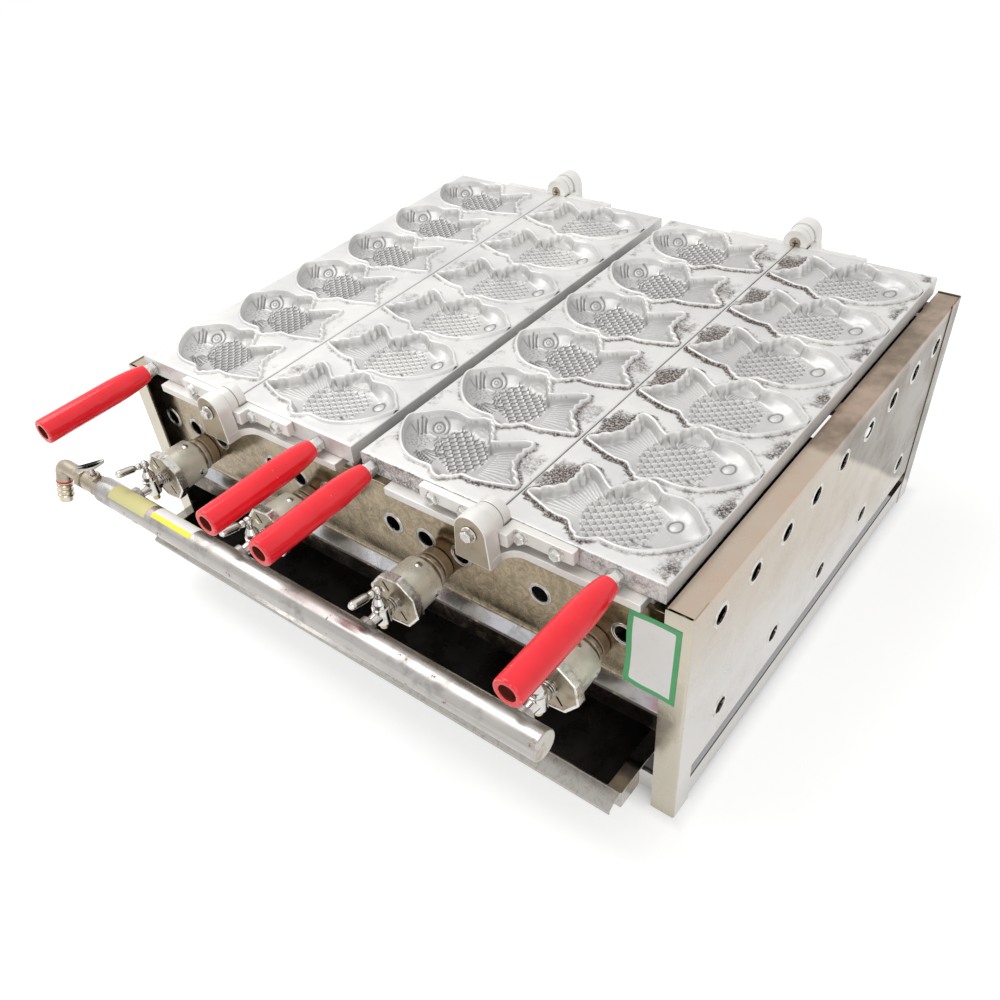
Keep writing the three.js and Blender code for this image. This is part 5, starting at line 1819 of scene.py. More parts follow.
        # the pedestal's outer face takes the tan painted reflection
        made.slots[-2 if end is End.FRONT else -1] = 1
        for xs in ((-left, 20 - left), (right - 20, right)):
            made.box((hinge + xs[0], hinge + xs[1]), self.span(end, -seat, 12 - seat), (low - 8.6, low + 0.3), 0.6)
        name = f"{unit}_unit_bearer_{end.name.lower()}"
        self.shop.piece(f"{name}_cast", made.mesh("bearer"),
                        [self.shop.finishes.bearer, self.shop.finishes.milled], "frame", "cast_frame", [name])

    def handle(self, label: str, body: str, hinge: float, side: Side) -> None:
        """Builds a handle rod and its grip.

        Args:
            label: Name of the plate.
            body: Body that they move with.
            hinge: Place of the hinge line along X.
            side: Side of the plate.
        """
        inset = self.handle_insets[0 if side is Side.LEFT else 1]
        x = hinge + side.value * (self.plate_gap + MouldPlate.width - inset)
        centre = Vector((x, LAYOUT.front_face, LAYOUT.plate_top - self.handle_drop))
        rod = Draft()
        hexagon = soften(round_outline(8.5, 6), 0.7, closed=True)
        flat = [(u + centre.z, v + centre.x) for u, v in hexagon]
        rod.block(flat, Axis.Y, (centre.y - 9.3, centre.y - 0.3), 0.8)
        profile = [(0, -140), (5, -140), (5, -18.0), (8.2, -18.0), (8.2, -9.0), (0, -9.0)]
        rod.turn(soften(profile, 0.8), Axis.Y, centre, 32)
        self.shop.piece(f"{label}_rod_turned", rod.mesh("rod"), [self.shop.finishes.zinc], body, "zinc_steel",
                        [f"{label}_handle_rod"])
        grip = Draft()
        shape = [(5.6, -138), (7.9, -138), (8.2, -149.6), (9.2, -150), (12.9, -150), (14.2, -148.4), (14.2, -60),
                 (13.9, -48), (13.0, -34), (11.6, -22), (10.0, -13.0), (8.6, -12.4), (8.3, -12.4), (8.3, -18.4),
                 (5.6, -18.4), (5.6, -138)]
        grip.turn(soften(shape, 1.0, steps=3), Axis.Y, centre, 48)
        for k, point in enumerate(grip.points):
            local = point.y - centre.y
            radius = math.hypot(point.x - centre.x, point.z - centre.z)
            edge = local < -149.2 and (radius > 12.4 or radius < 9.4)
            # mark one inside the bore, where shade is painted
            grip.marks[k] = 1.0 if radius < 8.3 else (0.395 if edge else (0.38 if local > -14 else 0.0))
        self.shop.piece(f"{label}_grip_dipped", grip.mesh("grip", 40), [self.shop.finishes.grip], body, "red_grip",
                        [f"{label}_grip"])


def row(count: int, pitch: float, middle: float) -> list[float]:
    """Returns so many places at a pitch round a middle."""
    return [middle + (k - (count - 1) / 2) * pitch for k in range(count)]


@dataclass
class SheetFrame:
    """The folded sheets of the frame: sides, front, rear, rails and the rest for the burners."""

    shop: Workshop
    sheet: float = 2.0
    panel_sheet: float = 1.5
    vent_radius: float = 9.5
    side_vents: tuple[int, float, float] = (9, 62.0, 243.4)
    low_vents: tuple[int, float, float] = (5, 111.5, 97.0)
    foot_cut: float = 6.0
    inset: float = 0.8
    post: float = 28.0
    slot: tuple[float, float] = (34.0, 54.0)
    panel_vent_z: float = 209.5
    panel_vents: tuple[float, ...] = (-59.0, -15.0, 31.0)
    neck_hole: float = 16.2
    rear_height: float = 165.0
    rear_vents: tuple[int, float] = (6, 110.0)

    def build(self) -> None:
        """Builds every sheet."""
        for side in Side:
            self.side_panel(side)
        self.front_panel()
        self.rear_panel()
        for end in End:
            self.rail(end)
        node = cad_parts["burner_rest"]
        node.data.materials.clear()
        node.data.materials.append(self.shop.finishes.stainless)

    def side_panel(self, side: Side) -> None:
        """Builds one side sheet, folded in at the top and at both posts.

        Args:
            side: Which side it is.
        """
        s = side.value
        L = LAYOUT
        half, front, rear, height = (L.frame_half - self.inset, L.frame_front + self.inset,
                                     L.frame_rear - self.inset, L.frame_height - self.inset)
        level = FoldLine([(L.frame_inner, front), (half, front), (half, rear), (L.frame_inner, rear)], 3.0)
        upright = FoldLine([(half, 0.0), (half, height), (L.frame_inner, height)], 3.0)
        whole = level.lengths[-1]
        first = level.length_at((half, front + 6)) - 6 + 3.2
        last = whole - first
        bend = upright.length_at((half, height - 3.0))
        high = upright.lengths[-1]
        start = level.length_at((half, front + 40)) - 40 - front

        def mapper(u: float, v: float) -> tuple[Vector, Vector]:
            """Places the pattern in space."""
            point, normal = level.at(u)
            if v <= bend or u < first - 0.01 or u > last + 0.01:
                return Vector((s * point.x, point.y, v)), Vector((s * normal.x, normal.y, 0))
            over, lean = upright.at(v)
            return Vector((s * over.x, point.y, over.y)), Vector((s * lean.x, 0, lean.y))

        post = level.length_at((half, L.frame_front + self.post))
        outline = [(0.0, 0.0), (post, 0.0), (post, self.foot_cut), (whole - post, self.foot_cut), (whole - post, 0.0),
                   (whole, 0.0), (whole, height - 0.4), (last, height - 0.4), (last, high), (first, high),
                   (first, height - 0.4), (0.0, height - 0.4)]
        middle = (L.frame_front + L.frame_rear) / 2
        vents = [(start + y, self.side_vents[2]) for y in row(*self.side_vents[:2], middle)]
        vents += [(start + y, self.low_vents[2]) for y in row(*self.low_vents[:2], middle)]
        slot = soften([(post, self.slot[0]), (whole - post, self.slot[0]), (whole - post, self.slot[1]),
                       (post, self.slot[1])], 2.5, closed=True)
        holes = [round_outline(self.vent_radius, 36, centre=c) for c in vents] + [slot]
        creases = [[(u, 0.0), (u, height - 0.4)] for u in level.lengths[1:-1] if u < 60 or u > whole - 60]
        creases += [[(first, v), (last, v)] for v in upright.lengths[1:-1]]
        made = Draft()
        # the inner face takes the near-black painted shade
        made.shell(Cut(outline, holes, creases), mapper, self.sheet - self.inset, back=1)
        for end, edge in ((End.FRONT, L.frame_front), (End.REAR, L.frame_rear)):
            corner = [(L.frame_inner, edge), (L.frame_half, edge), (L.frame_half, edge - end.value * self.post)]
            if end is End.REAR:
                corner.reverse()
            begin = len(made.faces)
            made.wall(FoldLine(corner, 2.6), (0.0, L.frame_height - 0.1), self.inset + 0.1, s)
            for k in range(begin, len(made.faces)):
                middle = sum(made.points[i].y for i in made.faces[k]) / len(made.faces[k])
                made.slots[k] = 2 if abs(middle - edge) < 1.5 else 0
        low = [(L.frame_inner - 11, L.bearer_top - 7), (L.frame_inner + 4, L.bearer_top - 7),
               (L.frame_inner + 4, L.frame_height - 1.5), (L.frame_inner + 0.3, L.frame_height - 1.5),
               (L.frame_inner + 0.3, L.bearer_top), (L.frame_inner - 11, L.bearer_top)]
        tab = [(z, s * x) for x, z in low]
        if s > 0:
            tab.reverse()
        for place in (35.0, 269.0):
            made.block(tab, Axis.Y, (place - 8, place + 8), 0.5)
        xs = sorted((s * 333.5, s * 371.9))
        made.box((xs[0], xs[1]), (L.frame_front + 7, L.frame_rear - 7), (76.5, 78.2), 0.3)
        name = f"side_panel_{side.name.lower()}"
        finishes = self.shop.finishes
        self.shop.piece(f"{name}_folded", made.mesh(name, 30), [finishes.stainless, finishes.sooty, finishes.post],
                        "frame", "stainless", [name])
        places = [Vector((s * half, u - start, v)) for u, v in vents]
        facing = Vector((0, s * math.pi / 2, 0))
        self.shop.fitting(f"{name}_rims", template_mesh("rim", vent_rim(self.vent_radius)), places, facing,
                          self.shop.finishes.rim, "frame", "stainless")

    def panel(self, name: str, line: list[Flat], holes: Sequence[Triple], face: float,
              material: bpy.types.Material) -> None:
        """Builds a sheet folded along X with round holes.

        Args:
            name: The node that it replaces.
            line: Fold line in Y and Z, its outer face on the right.
            holes: X, Z and radius of each hole.
            face: Place of the holed face along Y.
            material: Its finish.
        """
        fold = FoldLine(line, 2.4)
        cuts = [round_outline(r, 40, centre=(x, fold.length_at((face, z)))) for x, z, r in holes]
        made = Draft()
        # the inner face takes the near-black painted shade
        made.strip(fold, LAYOUT.inner_half, self.panel_sheet, cuts, back=1)
        self.shop.piece(f"{name}_folded", made.mesh(name, 30), [material, self.shop.finishes.sooty], "frame",
                        "stainless", [name])
        vents = [Vector((x, face, z)) for x, z, r in holes if r < 12]
        facing = Vector((math.copysign(math.pi / 2, -face), 0, 0))
        self.shop.fitting(f"{name}_rims", template_mesh("rim", vent_rim(self.vent_radius)), vents, facing,
                          self.shop.finishes.wing, "frame", "stainless")

    def front_panel(self) -> None:
        """Builds the front sheet with its ledge and apron."""
        L = LAYOUT
        line = [(L.panel_front + 14, L.panel_top), (L.panel_front, L.panel_top), (L.panel_front, 152.0),
                (-300.8, 142.0), (-300.8, 117.0), (-291.8, 117.0)]
        holes = [(x, L.burner_z, self.neck_hole) for x in L.burner_xs]
        holes += [(x + offset, self.panel_vent_z, self.vent_radius) for x in L.burner_xs for offset in self.panel_vents]
        self.panel("front_panel", line, holes, L.panel_front, self.shop.finishes.panel)

    def rear_panel(self) -> None:
        """Builds the rear sheet."""
        L = LAYOUT
        face = -L.panel_front
        low = L.panel_top - self.rear_height
        line = [(face - 14, L.panel_top), (face, L.panel_top), (face, low), (face - 9, low)]
        holes = [(x, self.panel_vent_z, self.vent_radius) for x in row(*self.rear_vents, 0)]
        self.panel("rear_panel", list(reversed(line)), holes, face, self.shop.finishes.stainless)

    def rail(self, end: End) -> None:
        """Builds a base rail.

        Args:
            end: Front or rear.
        """
        face = -292.0 if end is End.FRONT else 287.0
        line = [(face, 34.0), (face, 8.0), (face - end.value * 20, 8.0)]
        if end is End.REAR:
            line.reverse()
        made = Draft()
        made.strip(FoldLine(line, 2.4), LAYOUT.inner_half, self.sheet)
        name = f"base_rail_{end.name.lower()}"
        self.shop.piece(f"{name}_folded", made.mesh(name, 30), [self.shop.finishes.stainless], "frame", "stainless",
                        [name])


@dataclass
class DripTray:
    """The drip tray with its rims, nose and pull lip."""

    shop: Workshop
    half: float = 343.5
    body: float = 329.0
    front: float = -354.0
    rear: float = 240.0
    top: float = 80.0
    bottom: float = 58.0
    sheet: float = 1.5
    nose: float = 32.0

    def ring(self, x: float, y0: float, y1: float, z: float, corner: float) -> list[Vector]:
        """Returns a rounded rectangle of points, the same count for any size."""
        outline = [(-x, y0), (x, y0), (x, y1), (-x, y1)]
        return [Vector((u, v, z)) for u, v in soften(outline, corner, closed=True, steps=5)]

    def build(self) -> None:
        """Builds the tray."""
        made = Draft()
        f, r, t, b, w = self.front, self.rear, self.top, self.bottom, self.sheet
        inner = self.body - w
        rings = [self.ring(self.body - 3, f + 3, r - 3, b, 2), self.ring(self.body, f + 0.6, r - 0.3, b + 2.5, 3),
                 self.ring(self.body, f + 0.6, r - 0.3, t - w, 3),
                 self.ring(self.half - 0.4, f + 0.3, r - 0.1, t - w, 2),
                 self.ring(self.half, f, r, t - w * 0.6, 2), self.ring(self.half, f, r, t - w * 0.3, 2),
                 self.ring(self.half - 0.4, f + 0.3, r - 0.3, t, 2)]
        made.loft(rings, caps=(True, False))
        rings = [self.ring(self.half - 0.4, f + 0.3, r - 0.3, t, 2), self.ring(inner + 0.8, f + w, r - w, t, 2.4),
                 self.ring(inner, f + w + 0.6, r - w - 0.4, t - 1.0, 3),
                 self.ring(inner, f + w + 0.6, r - w - 0.4, b + 4, 3),
                 self.ring(inner - 0.8, f + w + 1.4, r - w - 1.2, b + 2.2, 3),
                 self.ring(inner - 2.6, f + w + 3.2, r - w - 3.0, b + w, 3)]
        made.loft(rings[:3], caps=(False, False))
        # the tray's inside takes the near-black painted shade
        made.loft(rings[2:], caps=(False, True), slot=1)
        for s in (-1, 1):
            line = [(s * (self.body - 1), f), (s * self.half, f), (s * self.half, f + self.nose)]
            if s < 0:
                line.reverse()
            made.wall(FoldLine(line, 2.0), (b, t - 1), w, corner=4)
        lip = FoldLine([(f + 0.4, t - 0.75), (f - 17, t - 11), (f - 17, t - 15), (f - 15, t - 15)], 1.2)
        made.strip(lip, self.half - 2.5, w)
        self.shop.piece("drip_tray_formed", made.mesh("tray", 30), [self.shop.finishes.lip, self.shop.finishes.tray],
                        "drip_tray", "tray_steel", ["drip_tray"])


def grid_faces(count: int) -> list[tuple[int, ...]]:
    """Returns the faces of a square grid of so many points a side."""
    return [(i * count + k, i * count + k + 1, (i + 1) * count + k + 1, (i + 1) * count + k)
            for i in range(count - 1) for k in range(count - 1)]


@dataclass
class BurnerLine:
    """One burner with its mixer cup, air shutter, cock and lever."""

    shop: Workshop
    number: int
    x: float
    neck_front: float = -312.6
    mixer: Flat = (-346.9, -312.9)
    shutter: Flat = (-356.9, -347.2)
    cock_top: float = 208.0

    def build(self) -> None:
        """Builds the burner and its fittings on their common axis."""
        self.centre = Vector((self.x, 0, LAYOUT.burner_z))
        self.burner()
        self.mixer_cup()
        self.air_shutter()
        self.cock()
        self.lever()

    def burner(self) -> None:
        """Builds a burner with its neck, ring and collar."""
        made = Draft()
        front = self.neck_front
        profile = [(11.0, front + 12), (11.0, front), (15.0, front), (15.0, -307.3), (20.0, -307.3), (20.0, -302.3),
                   (15.0, -302.3), (15.0, -299.3), (18.5, -299.3), (18.5, -288.3), (15.0, -288.3), (15.0, -252.6),
                   (13.0, -223.6), (0.0, -223.6)]
        made.turn(soften(profile, 1.3), Axis.Y, self.centre, 40)
        # mark one behind the panel paints shade on the neck's rear, inside the panel hole
        for k, point in enumerate(made.points):
            made.marks[k] = float(np.clip((point.y + 304.0) / 4.0, 0, 1))
        made.turn([(11.0, front + 12), (11.0, front + 24), (0, front + 24)], Axis.Y, self.centre, 40)
        z = LAYOUT.burner_z
        made.box((self.x - 25, self.x + 25), (-227.6, 262), (z - 13, z + 13), 3.0)
        self.shop.piece(f"burner_{self.number}_cast", made.mesh("burner", 35), [self.shop.finishes.iron], "frame",
                        "burner_iron", [f"burner_{self.number}"])

    def mixer_cup(self) -> None:
        """Builds a mixer cup and its screws."""
        made = Draft()
        front, rear = self.mixer
        profile = [(11.0, rear), (24.5, rear), (24.8, rear - 6), (26.0, front), (23.0, front), (21.5, rear - 3),
                   (11.0, rear - 3), (11.0, rear)]
        made.turn(soften(profile, 1.4), Axis.Y, self.centre, 56)
        self.shop.piece(f"mixer_{self.number}_cup", made.mesh("mixer", 40), [self.shop.finishes.galvanised], "frame",
                        "galvanised", [f"mixer_{self.number}"])
        for k, degrees in enumerate((-12, 78, 198)):
            a = math.radians(degrees)
            spot = self.centre + Vector((math.cos(a) * 23.0, rear - 8.5, math.sin(a) * 23.0))
            self.shop.fitting(f"mixer_{self.number}_screw_{k + 1}", template_mesh("screw", screw_head(4.2, 2.7, False)),
                              [spot], Vector((0, math.pi / 2 - a, 0)), self.shop.finishes.rim, "frame", "galvanised")

    def air_shutter(self) -> None:
        """Builds the eight-sided air shutter."""
        front, rear = self.shutter
        corner = 29.0 / math.cos(math.pi / 8)
        octagon = [(u, v) for v, u in round_outline(corner, 8, 30)][::-1]
        outline = soften(octagon, 1.6, closed=True)
        slim = grow(outline, -3.0)
        bore = round_outline(6.9, 28)
        slots = []
        for degrees in (120, 300):
            a = math.radians(degrees)
            box = soften([(12, -1.3), (24, -1.3), (24, 1.3), (12, 1.3)], 1.2, closed=True)
            slots.append([(math.sin(a) * p + math.cos(a) * q, math.cos(a) * p - math.sin(a) * q) for p, q in box])
        made = Draft()

        def ring_at(ring: Iterable[Sequence[float]], place: float) -> list[Vector]:
            """Returns an outline's points at a place along the axis."""
            return [Axis.Y.place(p[0], p[1], place) + self.centre for p in ring]

        def cap(place: float, ring: list[Flat], holes: list[list[Flat]], slot: int = 0) -> None:
            """Adds a face with these holes cut in it."""
            flat, faces = Cut(ring, holes).triangles()
            made.add(ring_at(flat, place), faces, slot)

        rings = [(outline, rear), (outline, front + 0.7), (grow(outline, -0.6), front),
                 (grow(outline, -2.2), front + 0.1), (slim, front + 0.8)]
        made.loft([ring_at(*pair) for pair in reversed(rings)], caps=(False, False))
        cap(front + 0.8, slim, [bore, *slots], 1)
        hollow = round_outline(23.0, 48)
        cap(front + 2.5, hollow, [bore, *slots], 1)
        for ring in [bore, *slots]:
            made.loft([ring_at(ring, w) for w in (front + 0.8, front + 2.5)], caps=(False, False), slot=1)
        made.loft([ring_at(hollow, w) for w in (front + 2.5, rear)], caps=(False, False))
        cap(rear, outline, [hollow])
        finishes = self.shop.finishes
        body = f"air_shutter_{self.number}"
        self.shop.piece(f"{body}_cap", made.mesh("shutter", 30), [finishes.rim, finishes.shutter], body, "galvanised",
                        [body])
        angle = math.radians(215)
        spot = self.centre + Vector((math.cos(angle) * 17, front + 0.8, math.sin(angle) * -17))
        self.shop.fitting(f"{body}_screw", template_mesh("screw", screw_head(3.4, 0.75)), [spot],
                          Vector((math.pi / 2, 0, 0)), finishes.barb, body, "galvanised")

    def cock(self) -> None:
        """Builds a gas cock with its injector, plug body, gland, stub and spring."""
        made = Draft()
        front = self.shutter[0]
        tube = front - 8.0
        tip = LAYOUT.spindle_y - LAYOUT.inlet
        inline = [(0, tip), (5.8, tip), (7.6, LAYOUT.spindle_y), (8.4, LAYOUT.spindle_y), (8.4, tube), (6.5, tube),
                  (6.5, front + 8), (0, front + 8)]
        made.turn(soften(inline, 0.8), Axis.Y, self.centre, 32)
        z = LAYOUT.burner_z
        base = Vector((self.x, LAYOUT.spindle_y, z))
        upright = [(0, -9.5), (9.0, -9.5), (9.0, 9.5), (7.4, 9.5), (7.4, 15.1), (4.0, 21.5), (3.6, 21.5), (3.6, 13.1),
                   (0, 13.1)]
        made.turn(soften(upright, 0.9), Axis.Z, base, 32)
        made.turn(soften([(0, -18.5), (4.4, -18.5), (4.4, -9.0), (0, -9.0)], 1.0), Axis.Z, base, 20, slot=1)
        self.shop.piece(f"gas_cock_{self.number}_turned", made.mesh("cock", 35),
                        [self.shop.finishes.chrome, self.shop.finishes.brass], "frame", "chrome",
                        [f"gas_cock_{self.number}"])
        draft = Draft()
        draft.add([Vector((self.x, tube - 0.3, z))], [])
        spring = self.shop.springs.run(draft, {"Turns": 3.0, "Radius": 0.0076, "Length": 0.0076, "Wire": 0.0007,
                                               "Facing": (-math.pi / 2, 0.0, 0.0),
                                               "Finish": self.shop.finishes.spring})
        self.shop.piece(f"gas_cock_{self.number}_spring", spring, [self.shop.finishes.spring], "frame", "chrome")

    def lever(self) -> None:
        """Builds a cock's lever."""
        made = Draft()
        centre = Vector((self.x, LAYOUT.spindle_y, self.cock_top + 8.5))
        profile = [(0, -5.4), (3.4, -4.3), (5.2, -1.6), (5.4, 0.6), (4.6, 2.8), (2.6, 3.8), (3.4, 4.6), (4.2, 7.4),
                   (3.4, 10.2), (2.6, 11.4), (3.6, 12.6), (4.5, 15.0), (4.7, 20), (4.7, 31.0), (4.1, 34.2), (2.4, 36.2),
                   (0, 36.7)]
        tilt = Matrix.Rotation(math.radians(90 - 13), 3, "X")
        made.turn(soften(profile, 0.6), Axis.Z, centre, 28, tilt=tilt)
        stem = Vector((self.x, LAYOUT.spindle_y, self.cock_top))
        made.turn([(0, -8), (3.2, -8), (3.2, 8.5), (0, 8.5)], Axis.Z, stem, 24)
        self.shop.piece(f"cock_lever_{self.number}_turned", made.mesh("lever", 40), [self.shop.finishes.chrome],
                        f"cock_lever_{self.number}", "chrome", [f"cock_lever_{self.number}"])


@dataclass
class GasTrain:
    """The burners with their fittings, and the pipe that feeds them."""

    shop: Workshop
    pipe_y: float = -410.9
    pipe_radius: float = 15.3
    wing_x: float = -335.0
    master_span: Flat = (-322.3, -366.0)
    elbow_start: float = -366.3
    elbow_radius: float = 9.3

    def build(self) -> None:
        """Builds each burner's fittings and the manifold."""
        for number, x in enumerate(LAYOUT.burner_xs, 1):
            BurnerLine(self.shop, number, x).build()
        self.manifold()
        self.master()
        self.elbow()
        self.labels()

    def manifold(self) -> None:
        """Builds the gas pipe with its bosses."""
        made = Draft()
        centre = Vector((0, self.pipe_y, LAYOUT.burner_z))
        profile = [(0, -322 + 10), (12.5, -322 + 10), (12.5, -322), (15.3, -322), (15.3, 303), (0, 303)]
        made.turn(soften(profile, 1.2), Axis.X, centre, 56)
        made.turn([(0, 303.0), (14.6, 303.0), (14.2, 303.3), (0, 303.3)][::-1], Axis.X, centre, 40, slot=1)
        tip = LAYOUT.spindle_y - LAYOUT.inlet - 0.3
        for x in LAYOUT.burner_xs:
            boss = [(0, self.pipe_y + 10), (9.5, self.pipe_y + 10), (9.5, tip), (0, tip)]
            made.turn(soften(boss, 0.8), Axis.Y, Vector((x, 0, LAYOUT.burner_z)), 36)
        self.shop.piece("gas_manifold_welded", made.mesh("pipe", 35),
                        [self.shop.finishes.pipe, self.shop.finishes.cap], "frame", "manifold_paint", ["gas_manifold"])

    def master(self) -> None:
        """Builds the master cock and its wing lever."""
        z = LAYOUT.burner_z
        start, end = self.master_span
        made = Draft()
        for low, high in ((start - 9, start), (end, end + 9)):
            hexagon = soften(round_outline(14.5, 6), 1.0, closed=True)
            made.block([(u + self.pipe_y, v + z) for u, v in hexagon], Axis.X, (low, high), 1.0)
        middle = Vector((0, self.pipe_y, z))
        profile = [(0, end + 5), (11.0, end + 5), (12.0, end + 12), (12.0, start - 12), (11.0, start - 5),
                   (0, start - 5)]
        made.turn(soften(profile, 1.2), Axis.X, middle, 32)
        boss = [(0, 0), (7.4, 0), (7.4, 15), (6.4, 17), (3.6, 17), (3.6, 8.6), (0, 8.6)]
        made.turn(soften(boss, 0.7), Axis.Z, Vector((self.wing_x, self.pipe_y, z)), 28)
        self.shop.piece("master_cock_turned", made.mesh("master", 35), [self.shop.finishes.nickel], "frame", "nickel",
                        ["master_cock"])
        wing = Draft()
        outline = [(-17, 12), (-5.1, 7), (5.1, 7), (17, 12), (17, 16), (5.1, 12), (-5.1, 12), (-17, 16)]
        flat = [(v, u) for u, v in reversed(soften(outline, 1.8, closed=True))]
        wing.block(flat, Axis.Y, (-2.5, 2.5), 0.9)
        wing.turn([(0, -8), (3.2, -8), (3.2, 8.3), (0, 8.3)], Axis.Z, Vector(), 24)
        turn = Matrix.Rotation(math.radians(60), 3, "Z")
        place = Vector((self.wing_x, self.pipe_y, z + 17))
        wing.points = [turn @ p + place for p in wing.points]
        self.shop.piece("master_lever_wing", wing.mesh("wing", 35), [self.shop.finishes.wing], "master_lever",
                        "chrome", ["master_lever"])

    def elbow(self) -> None:
        """Builds the hose elbow with its barbs."""
        z = LAYOUT.burner_z
        made = Draft()
        start, bore = self.elbow_start, self.elbow_radius
        corner = Vector((start - 44.0, self.pipe_y, z))
        lean = math.radians(18)
        down = Vector((0, -math.sin(lean), -math.cos(lean)))
        path: list[tuple[Vector, float]] = [(Vector((start, self.pipe_y, z)), bore)]
        for k in range(9):
            t = k / 8
            bend = corner + Vector((11 * (1 - t) ** 2, 0, 0)) + down * (11 * t**2)
            path.append((bend, bore))
        for place in np.linspace(12, 22, 3):
            path.append((corner + down * place, bore))
        reach, end, barbs, pitch = 47, 4, 3, 6.5
        for k in range(barbs):
            place = reach - end - barbs * pitch + (k + 0.5) * pitch - 0.5
            path += [(corner + down * (place - 2.6), 8.6), (corner + down * (place - 2.0), 9.6),
                     (corner + down * place, 10.2), (corner + down * (place + 1.4), 8.4)]
        path += [(corner + down * (reach - 1), 8.4), (corner + down * reach, 7.6)]
        angles = [math.tau * k / 32 for k in range(32)]
        rings = []
        for i, (point, radius) in enumerate(path):
            before, after = path[max(i - 1, 0)][0], path[min(i + 1, len(path) - 1)][0]
            along = (after - before).normalized()
            across = along.cross(Vector((0, 1, 0)) if abs(along.y) < 0.9 else Vector((1, 0, 0))).normalized()
            other = along.cross(across)
            rings.append([point + across * (radius * math.cos(a)) + other * (radius * math.sin(a)) for a in angles])
        made.loft(rings)
        for k, face in enumerate(made.faces):
            middle = sum((made.points[i] for i in face), Vector()) / len(face)
            made.slots[k] = 1 if (middle - corner).dot(down) > 22.5 else 0
        band = []
        side = Vector((1, 0, 0))
        for place, radius in ((19.4, 9.3), (19.8, 9.9), (21.4, 9.9), (21.8, 9.3)):
            band.append([corner + down * place + (side * math.cos(a) + down.cross(side) * math.sin(a)) * radius
                         for a in angles])
        made.loft(band, slot=2)
        self.shop.piece("hose_elbow_bent", made.mesh("elbow", 35),
                        [self.shop.finishes.nickel, self.shop.finishes.barb, self.shop.finishes.seal], "frame",
                        "nickel", ["hose_elbow"])

    def labels(self) -> None:
        """Builds the two blank stickers on the pipe and the blank card on the right front post."""
        finishes = self.shop.finishes
        count = 24
        for name, xs, spread, material in (("pipe_sticker_left", (-294, -226), (38, 128), finishes.yellow),
                                           ("pipe_sticker_right", (-217, -150), (58, 138), finishes.white)):
            made = Draft()
            angles = [math.radians(a) for a in np.linspace(*spread, count)]
            columns = np.linspace(*xs, count)
            for radius in (self.pipe_radius + 0.12, self.pipe_radius - 0.2):
                points = [Vector((x, self.pipe_y - radius * math.cos(a), LAYOUT.burner_z + radius * math.sin(a)))
                          for a in angles for x in columns]
                start = made.add(points, grid_faces(count))
                made.marks[start:] = [float(k // count < 7 or k // count > 21) for k in range(count**2)]
            self.shop.piece(name, made.mesh(name, 60, 0.001), [material], "frame", "manifold_paint")
        shape = ((316.0, 265.9), (364.1, 263.9), (362.5, 168.1), (311.7, 174.0))
        card = Draft()
        count = 25
        for depth in (0.0, 0.25):
            points = []
            for i in range(count):
                for k in range(count):
                    u, v = k / (count - 1), i / (count - 1)
                    top = Vector(shape[0]).lerp(Vector(shape[1]), u)
                    low = Vector(shape[3]).lerp(Vector(shape[2]), u)
                    place = top.lerp(low, v)
                    free = max(0.0, 1 - (place.x - 316) / 30)
                    wave = free * (1.2 + 1.4 * math.sin(v * 7.5) + 0.8 * math.sin(u * 9 + v * 4))
                    points.append(Vector((place.x, LAYOUT.frame_front - 0.35 - 0.8 * max(0.0, wave) + depth, place.y)))
            start = card.add(points, grid_faces(count))
            card.marks[start:] = [float(min(i, count - 1 - i) < 2 or min(k, count - 1 - k) < 3)
                                  for i in range(count) for k in range(count)]
        self.shop.piece("post_card", card.mesh("card", 60, 0.001), [finishes.card], "frame", "stainless")


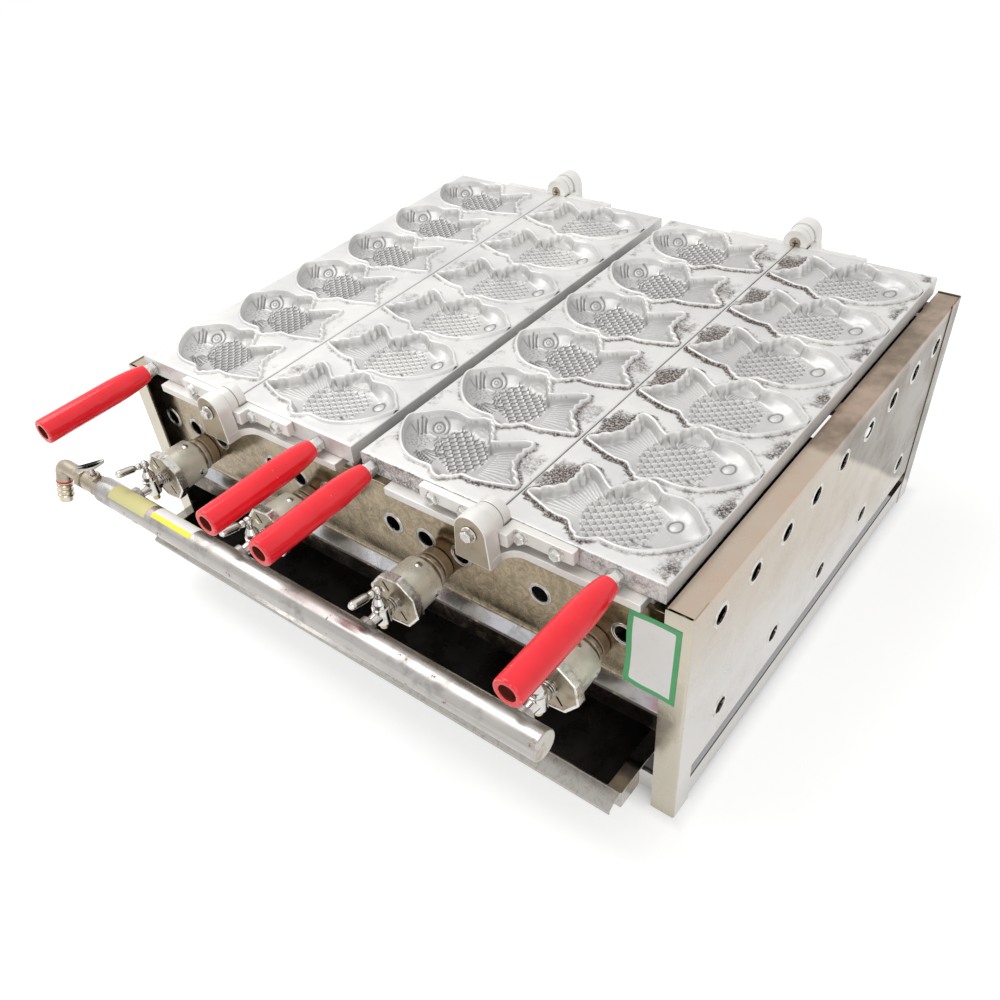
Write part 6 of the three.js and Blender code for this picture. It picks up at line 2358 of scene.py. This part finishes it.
@dataclass(frozen=True)
class Studio:
    """The floor, the light and the camera."""

    camera_place: Triple = (0.6117, -0.72085, 0.8274)
    azimuth: float = 43.94
    elevation: float = 42.77
    roll: float = 7.24
    focal_share: float = 0.93765
    middle: tuple[float, float] = (464.53, 561.05)
    image: float = 1000.0
    shadow_middle: Flat = (0.024, 0.052)
    shadow_half: Flat = (0.37, 0.3)
    shadow_edge: Flat = (0.9, 1.05)
    floor_grey: float = 0.62
    floor_glow: float = 0.6
    sky_light: float = 0.62

    def build(self) -> None:
        """Builds the stage."""
        self.camera()
        self.floor()
        self.world()
        self.lamp("key", (-1.2, -0.4, 2.2), (0.0, -0.05, 0.25), 1.8, 30.0)
        self.lamp("fill", (1.6, -1.9, 1.3), (0.1, -0.2, 0.2), 1.4, 9.0)
        scene = bpy.context.scene
        scene.view_settings.view_transform = "Standard"

    def camera(self) -> None:
        """Sets the camera where the photograph was taken."""
        a, e, r = (math.radians(v) for v in (self.azimuth, self.elevation, self.roll))
        back = Vector((math.sin(a) * math.cos(e), -math.cos(a) * math.cos(e), math.sin(e)))
        ahead = -back
        right = ahead.cross(Vector((0, 0, 1))).normalized()
        down = ahead.cross(right)
        x = right * math.cos(r) + down * math.sin(r)
        y = -(down * math.cos(r) - right * math.sin(r))
        data = bpy.data.cameras.new("camera")
        data.sensor_width = 36.0
        data.lens = self.focal_share * data.sensor_width
        data.shift_x = (self.image / 2 - self.middle[0]) / self.image
        data.shift_y = (self.middle[1] - self.image / 2) / self.image
        data.clip_start = 0.02
        made = bpy.data.objects.new("camera", data)
        rotation = Matrix((x, y, back)).transposed().to_4x4()
        made.matrix_world = Matrix.Translation(Vector(self.camera_place)) @ rotation
        bpy.context.scene.collection.objects.link(made)
        bpy.context.scene.camera = made

    def floor(self) -> None:
        """Lays a pale floor that glows white outside a box under the griddle and only takes light inside it, which
        paints shade under the griddle and keeps the cast shadow.
        """
        mesh = bpy.data.meshes.new("floor")
        mesh.from_pydata([(-30, -30, 0), (30, -30, 0), (30, 30, 0), (-30, 30, 0)], [], [(0, 1, 2, 3)])
        made = bpy.data.objects.new("floor", mesh)
        bpy.context.scene.collection.objects.link(made)
        material = bpy.data.materials.new("floor")
        material.use_nodes = True
        make = Nodes(material.node_tree)
        path = make.node("ShaderNodeLightPath").outputs
        seen = make.math("MAXIMUM", path["Is Camera Ray"], path["Is Glossy Ray"])
        size_x, size_y = self.shadow_half
        mapped = {"Vector": make.node("ShaderNodeTexCoord").outputs["Object"],
                  "Location": (-self.shadow_middle[0] / size_x, -self.shadow_middle[1] / size_y, 0),
                  "Scale": (1 / size_x, 1 / size_y, 0)}
        centred = make.node("ShaderNodeMapping", mapped).outputs[0]
        size = make.node("ShaderNodeVectorMath", {0: centred}, operation="ABSOLUTE").outputs[0]
        parts = make.node("ShaderNodeSeparateXYZ", {0: size}).outputs
        # no glow inside the box under the griddle: painted shade there
        widest = make.math("MAXIMUM", parts[0], parts[1])
        near, far = self.shadow_edge
        ends = {"From Min": near, "From Max": far, "To Max": self.floor_glow}
        beyond = make.node("ShaderNodeMapRange", {"Value": widest, **ends}).outputs[0]
        share = make.math("MULTIPLY", seen, beyond)
        glow = make.node("ShaderNodeEmission", {"Strength": share}).outputs[0]
        diffuse = make.node("ShaderNodeBsdfDiffuse", {0: (*[self.floor_grey] * 3, 1)}).outputs[0]
        both = make.node("ShaderNodeAddShader", {0: diffuse, 1: glow}).outputs[0]
        make.node("ShaderNodeOutputMaterial", {0: both})
        mesh.materials.append(material)
        made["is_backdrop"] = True

    def world(self) -> None:
        """Surrounds the stage with white, dimmer where it only lights."""
        world = bpy.data.worlds.new("studio")
        bpy.context.scene.world = world
        world.use_nodes = True
        make = Nodes(world.node_tree)
        path = make.node("ShaderNodeLightPath").outputs
        seen = make.math("MAXIMUM", path["Is Camera Ray"], path["Is Transmission Ray"])
        seen = make.math("MAXIMUM", seen, path["Is Glossy Ray"])
        scale = make.node("ShaderNodeMapRange", {"Value": seen, "To Min": self.sky_light, "To Max": 1.0}).outputs[0]
        back = make.node("ShaderNodeBackground", {0: (1, 1, 1, 1), "Strength": scale}).outputs[0]
        make.node("ShaderNodeOutputWorld", {0: back})

    def lamp(self, name: str, place: Triple, target: Triple, size: float, power: float) -> None:
        """Hangs a soft square lamp.

        Args:
            name: Its name.
            place: Where it hangs.
            target: What it points at.
            size: Its side in metres.
            power: Its power in watts.
        """
        data = bpy.data.lights.new(name, "AREA")
        data.size = size
        data.energy = power
        made = bpy.data.objects.new(name, data)
        aim = Vector(target) - Vector(place)
        made.matrix_world = Matrix.Translation(Vector(place)) @ aim.to_track_quat("-Z", "Y").to_matrix().to_4x4()
        bpy.context.scene.collection.objects.link(made)


def corners(bounds: Iterable[Iterable[float]]) -> list[list[float]]:
    """Returns a box as plain lists of numbers."""
    return [[float(v) for v in corner] for corner in bounds]


def main() -> None:
    """Builds the griddle's pieces in order, then the stage."""
    cad_box = corners(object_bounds())
    shop = Workshop(Finishes())
    for assembly in (PlatePairs(shop), SheetFrame(shop), DripTray(shop), GasTrain(shop)):
        log.info("building %s", type(assembly).__name__)
        assembly.build()
    Studio().build()
    {"cad": cad_box, "visual": corners(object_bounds())}


if __name__ == "__main__":
    main()
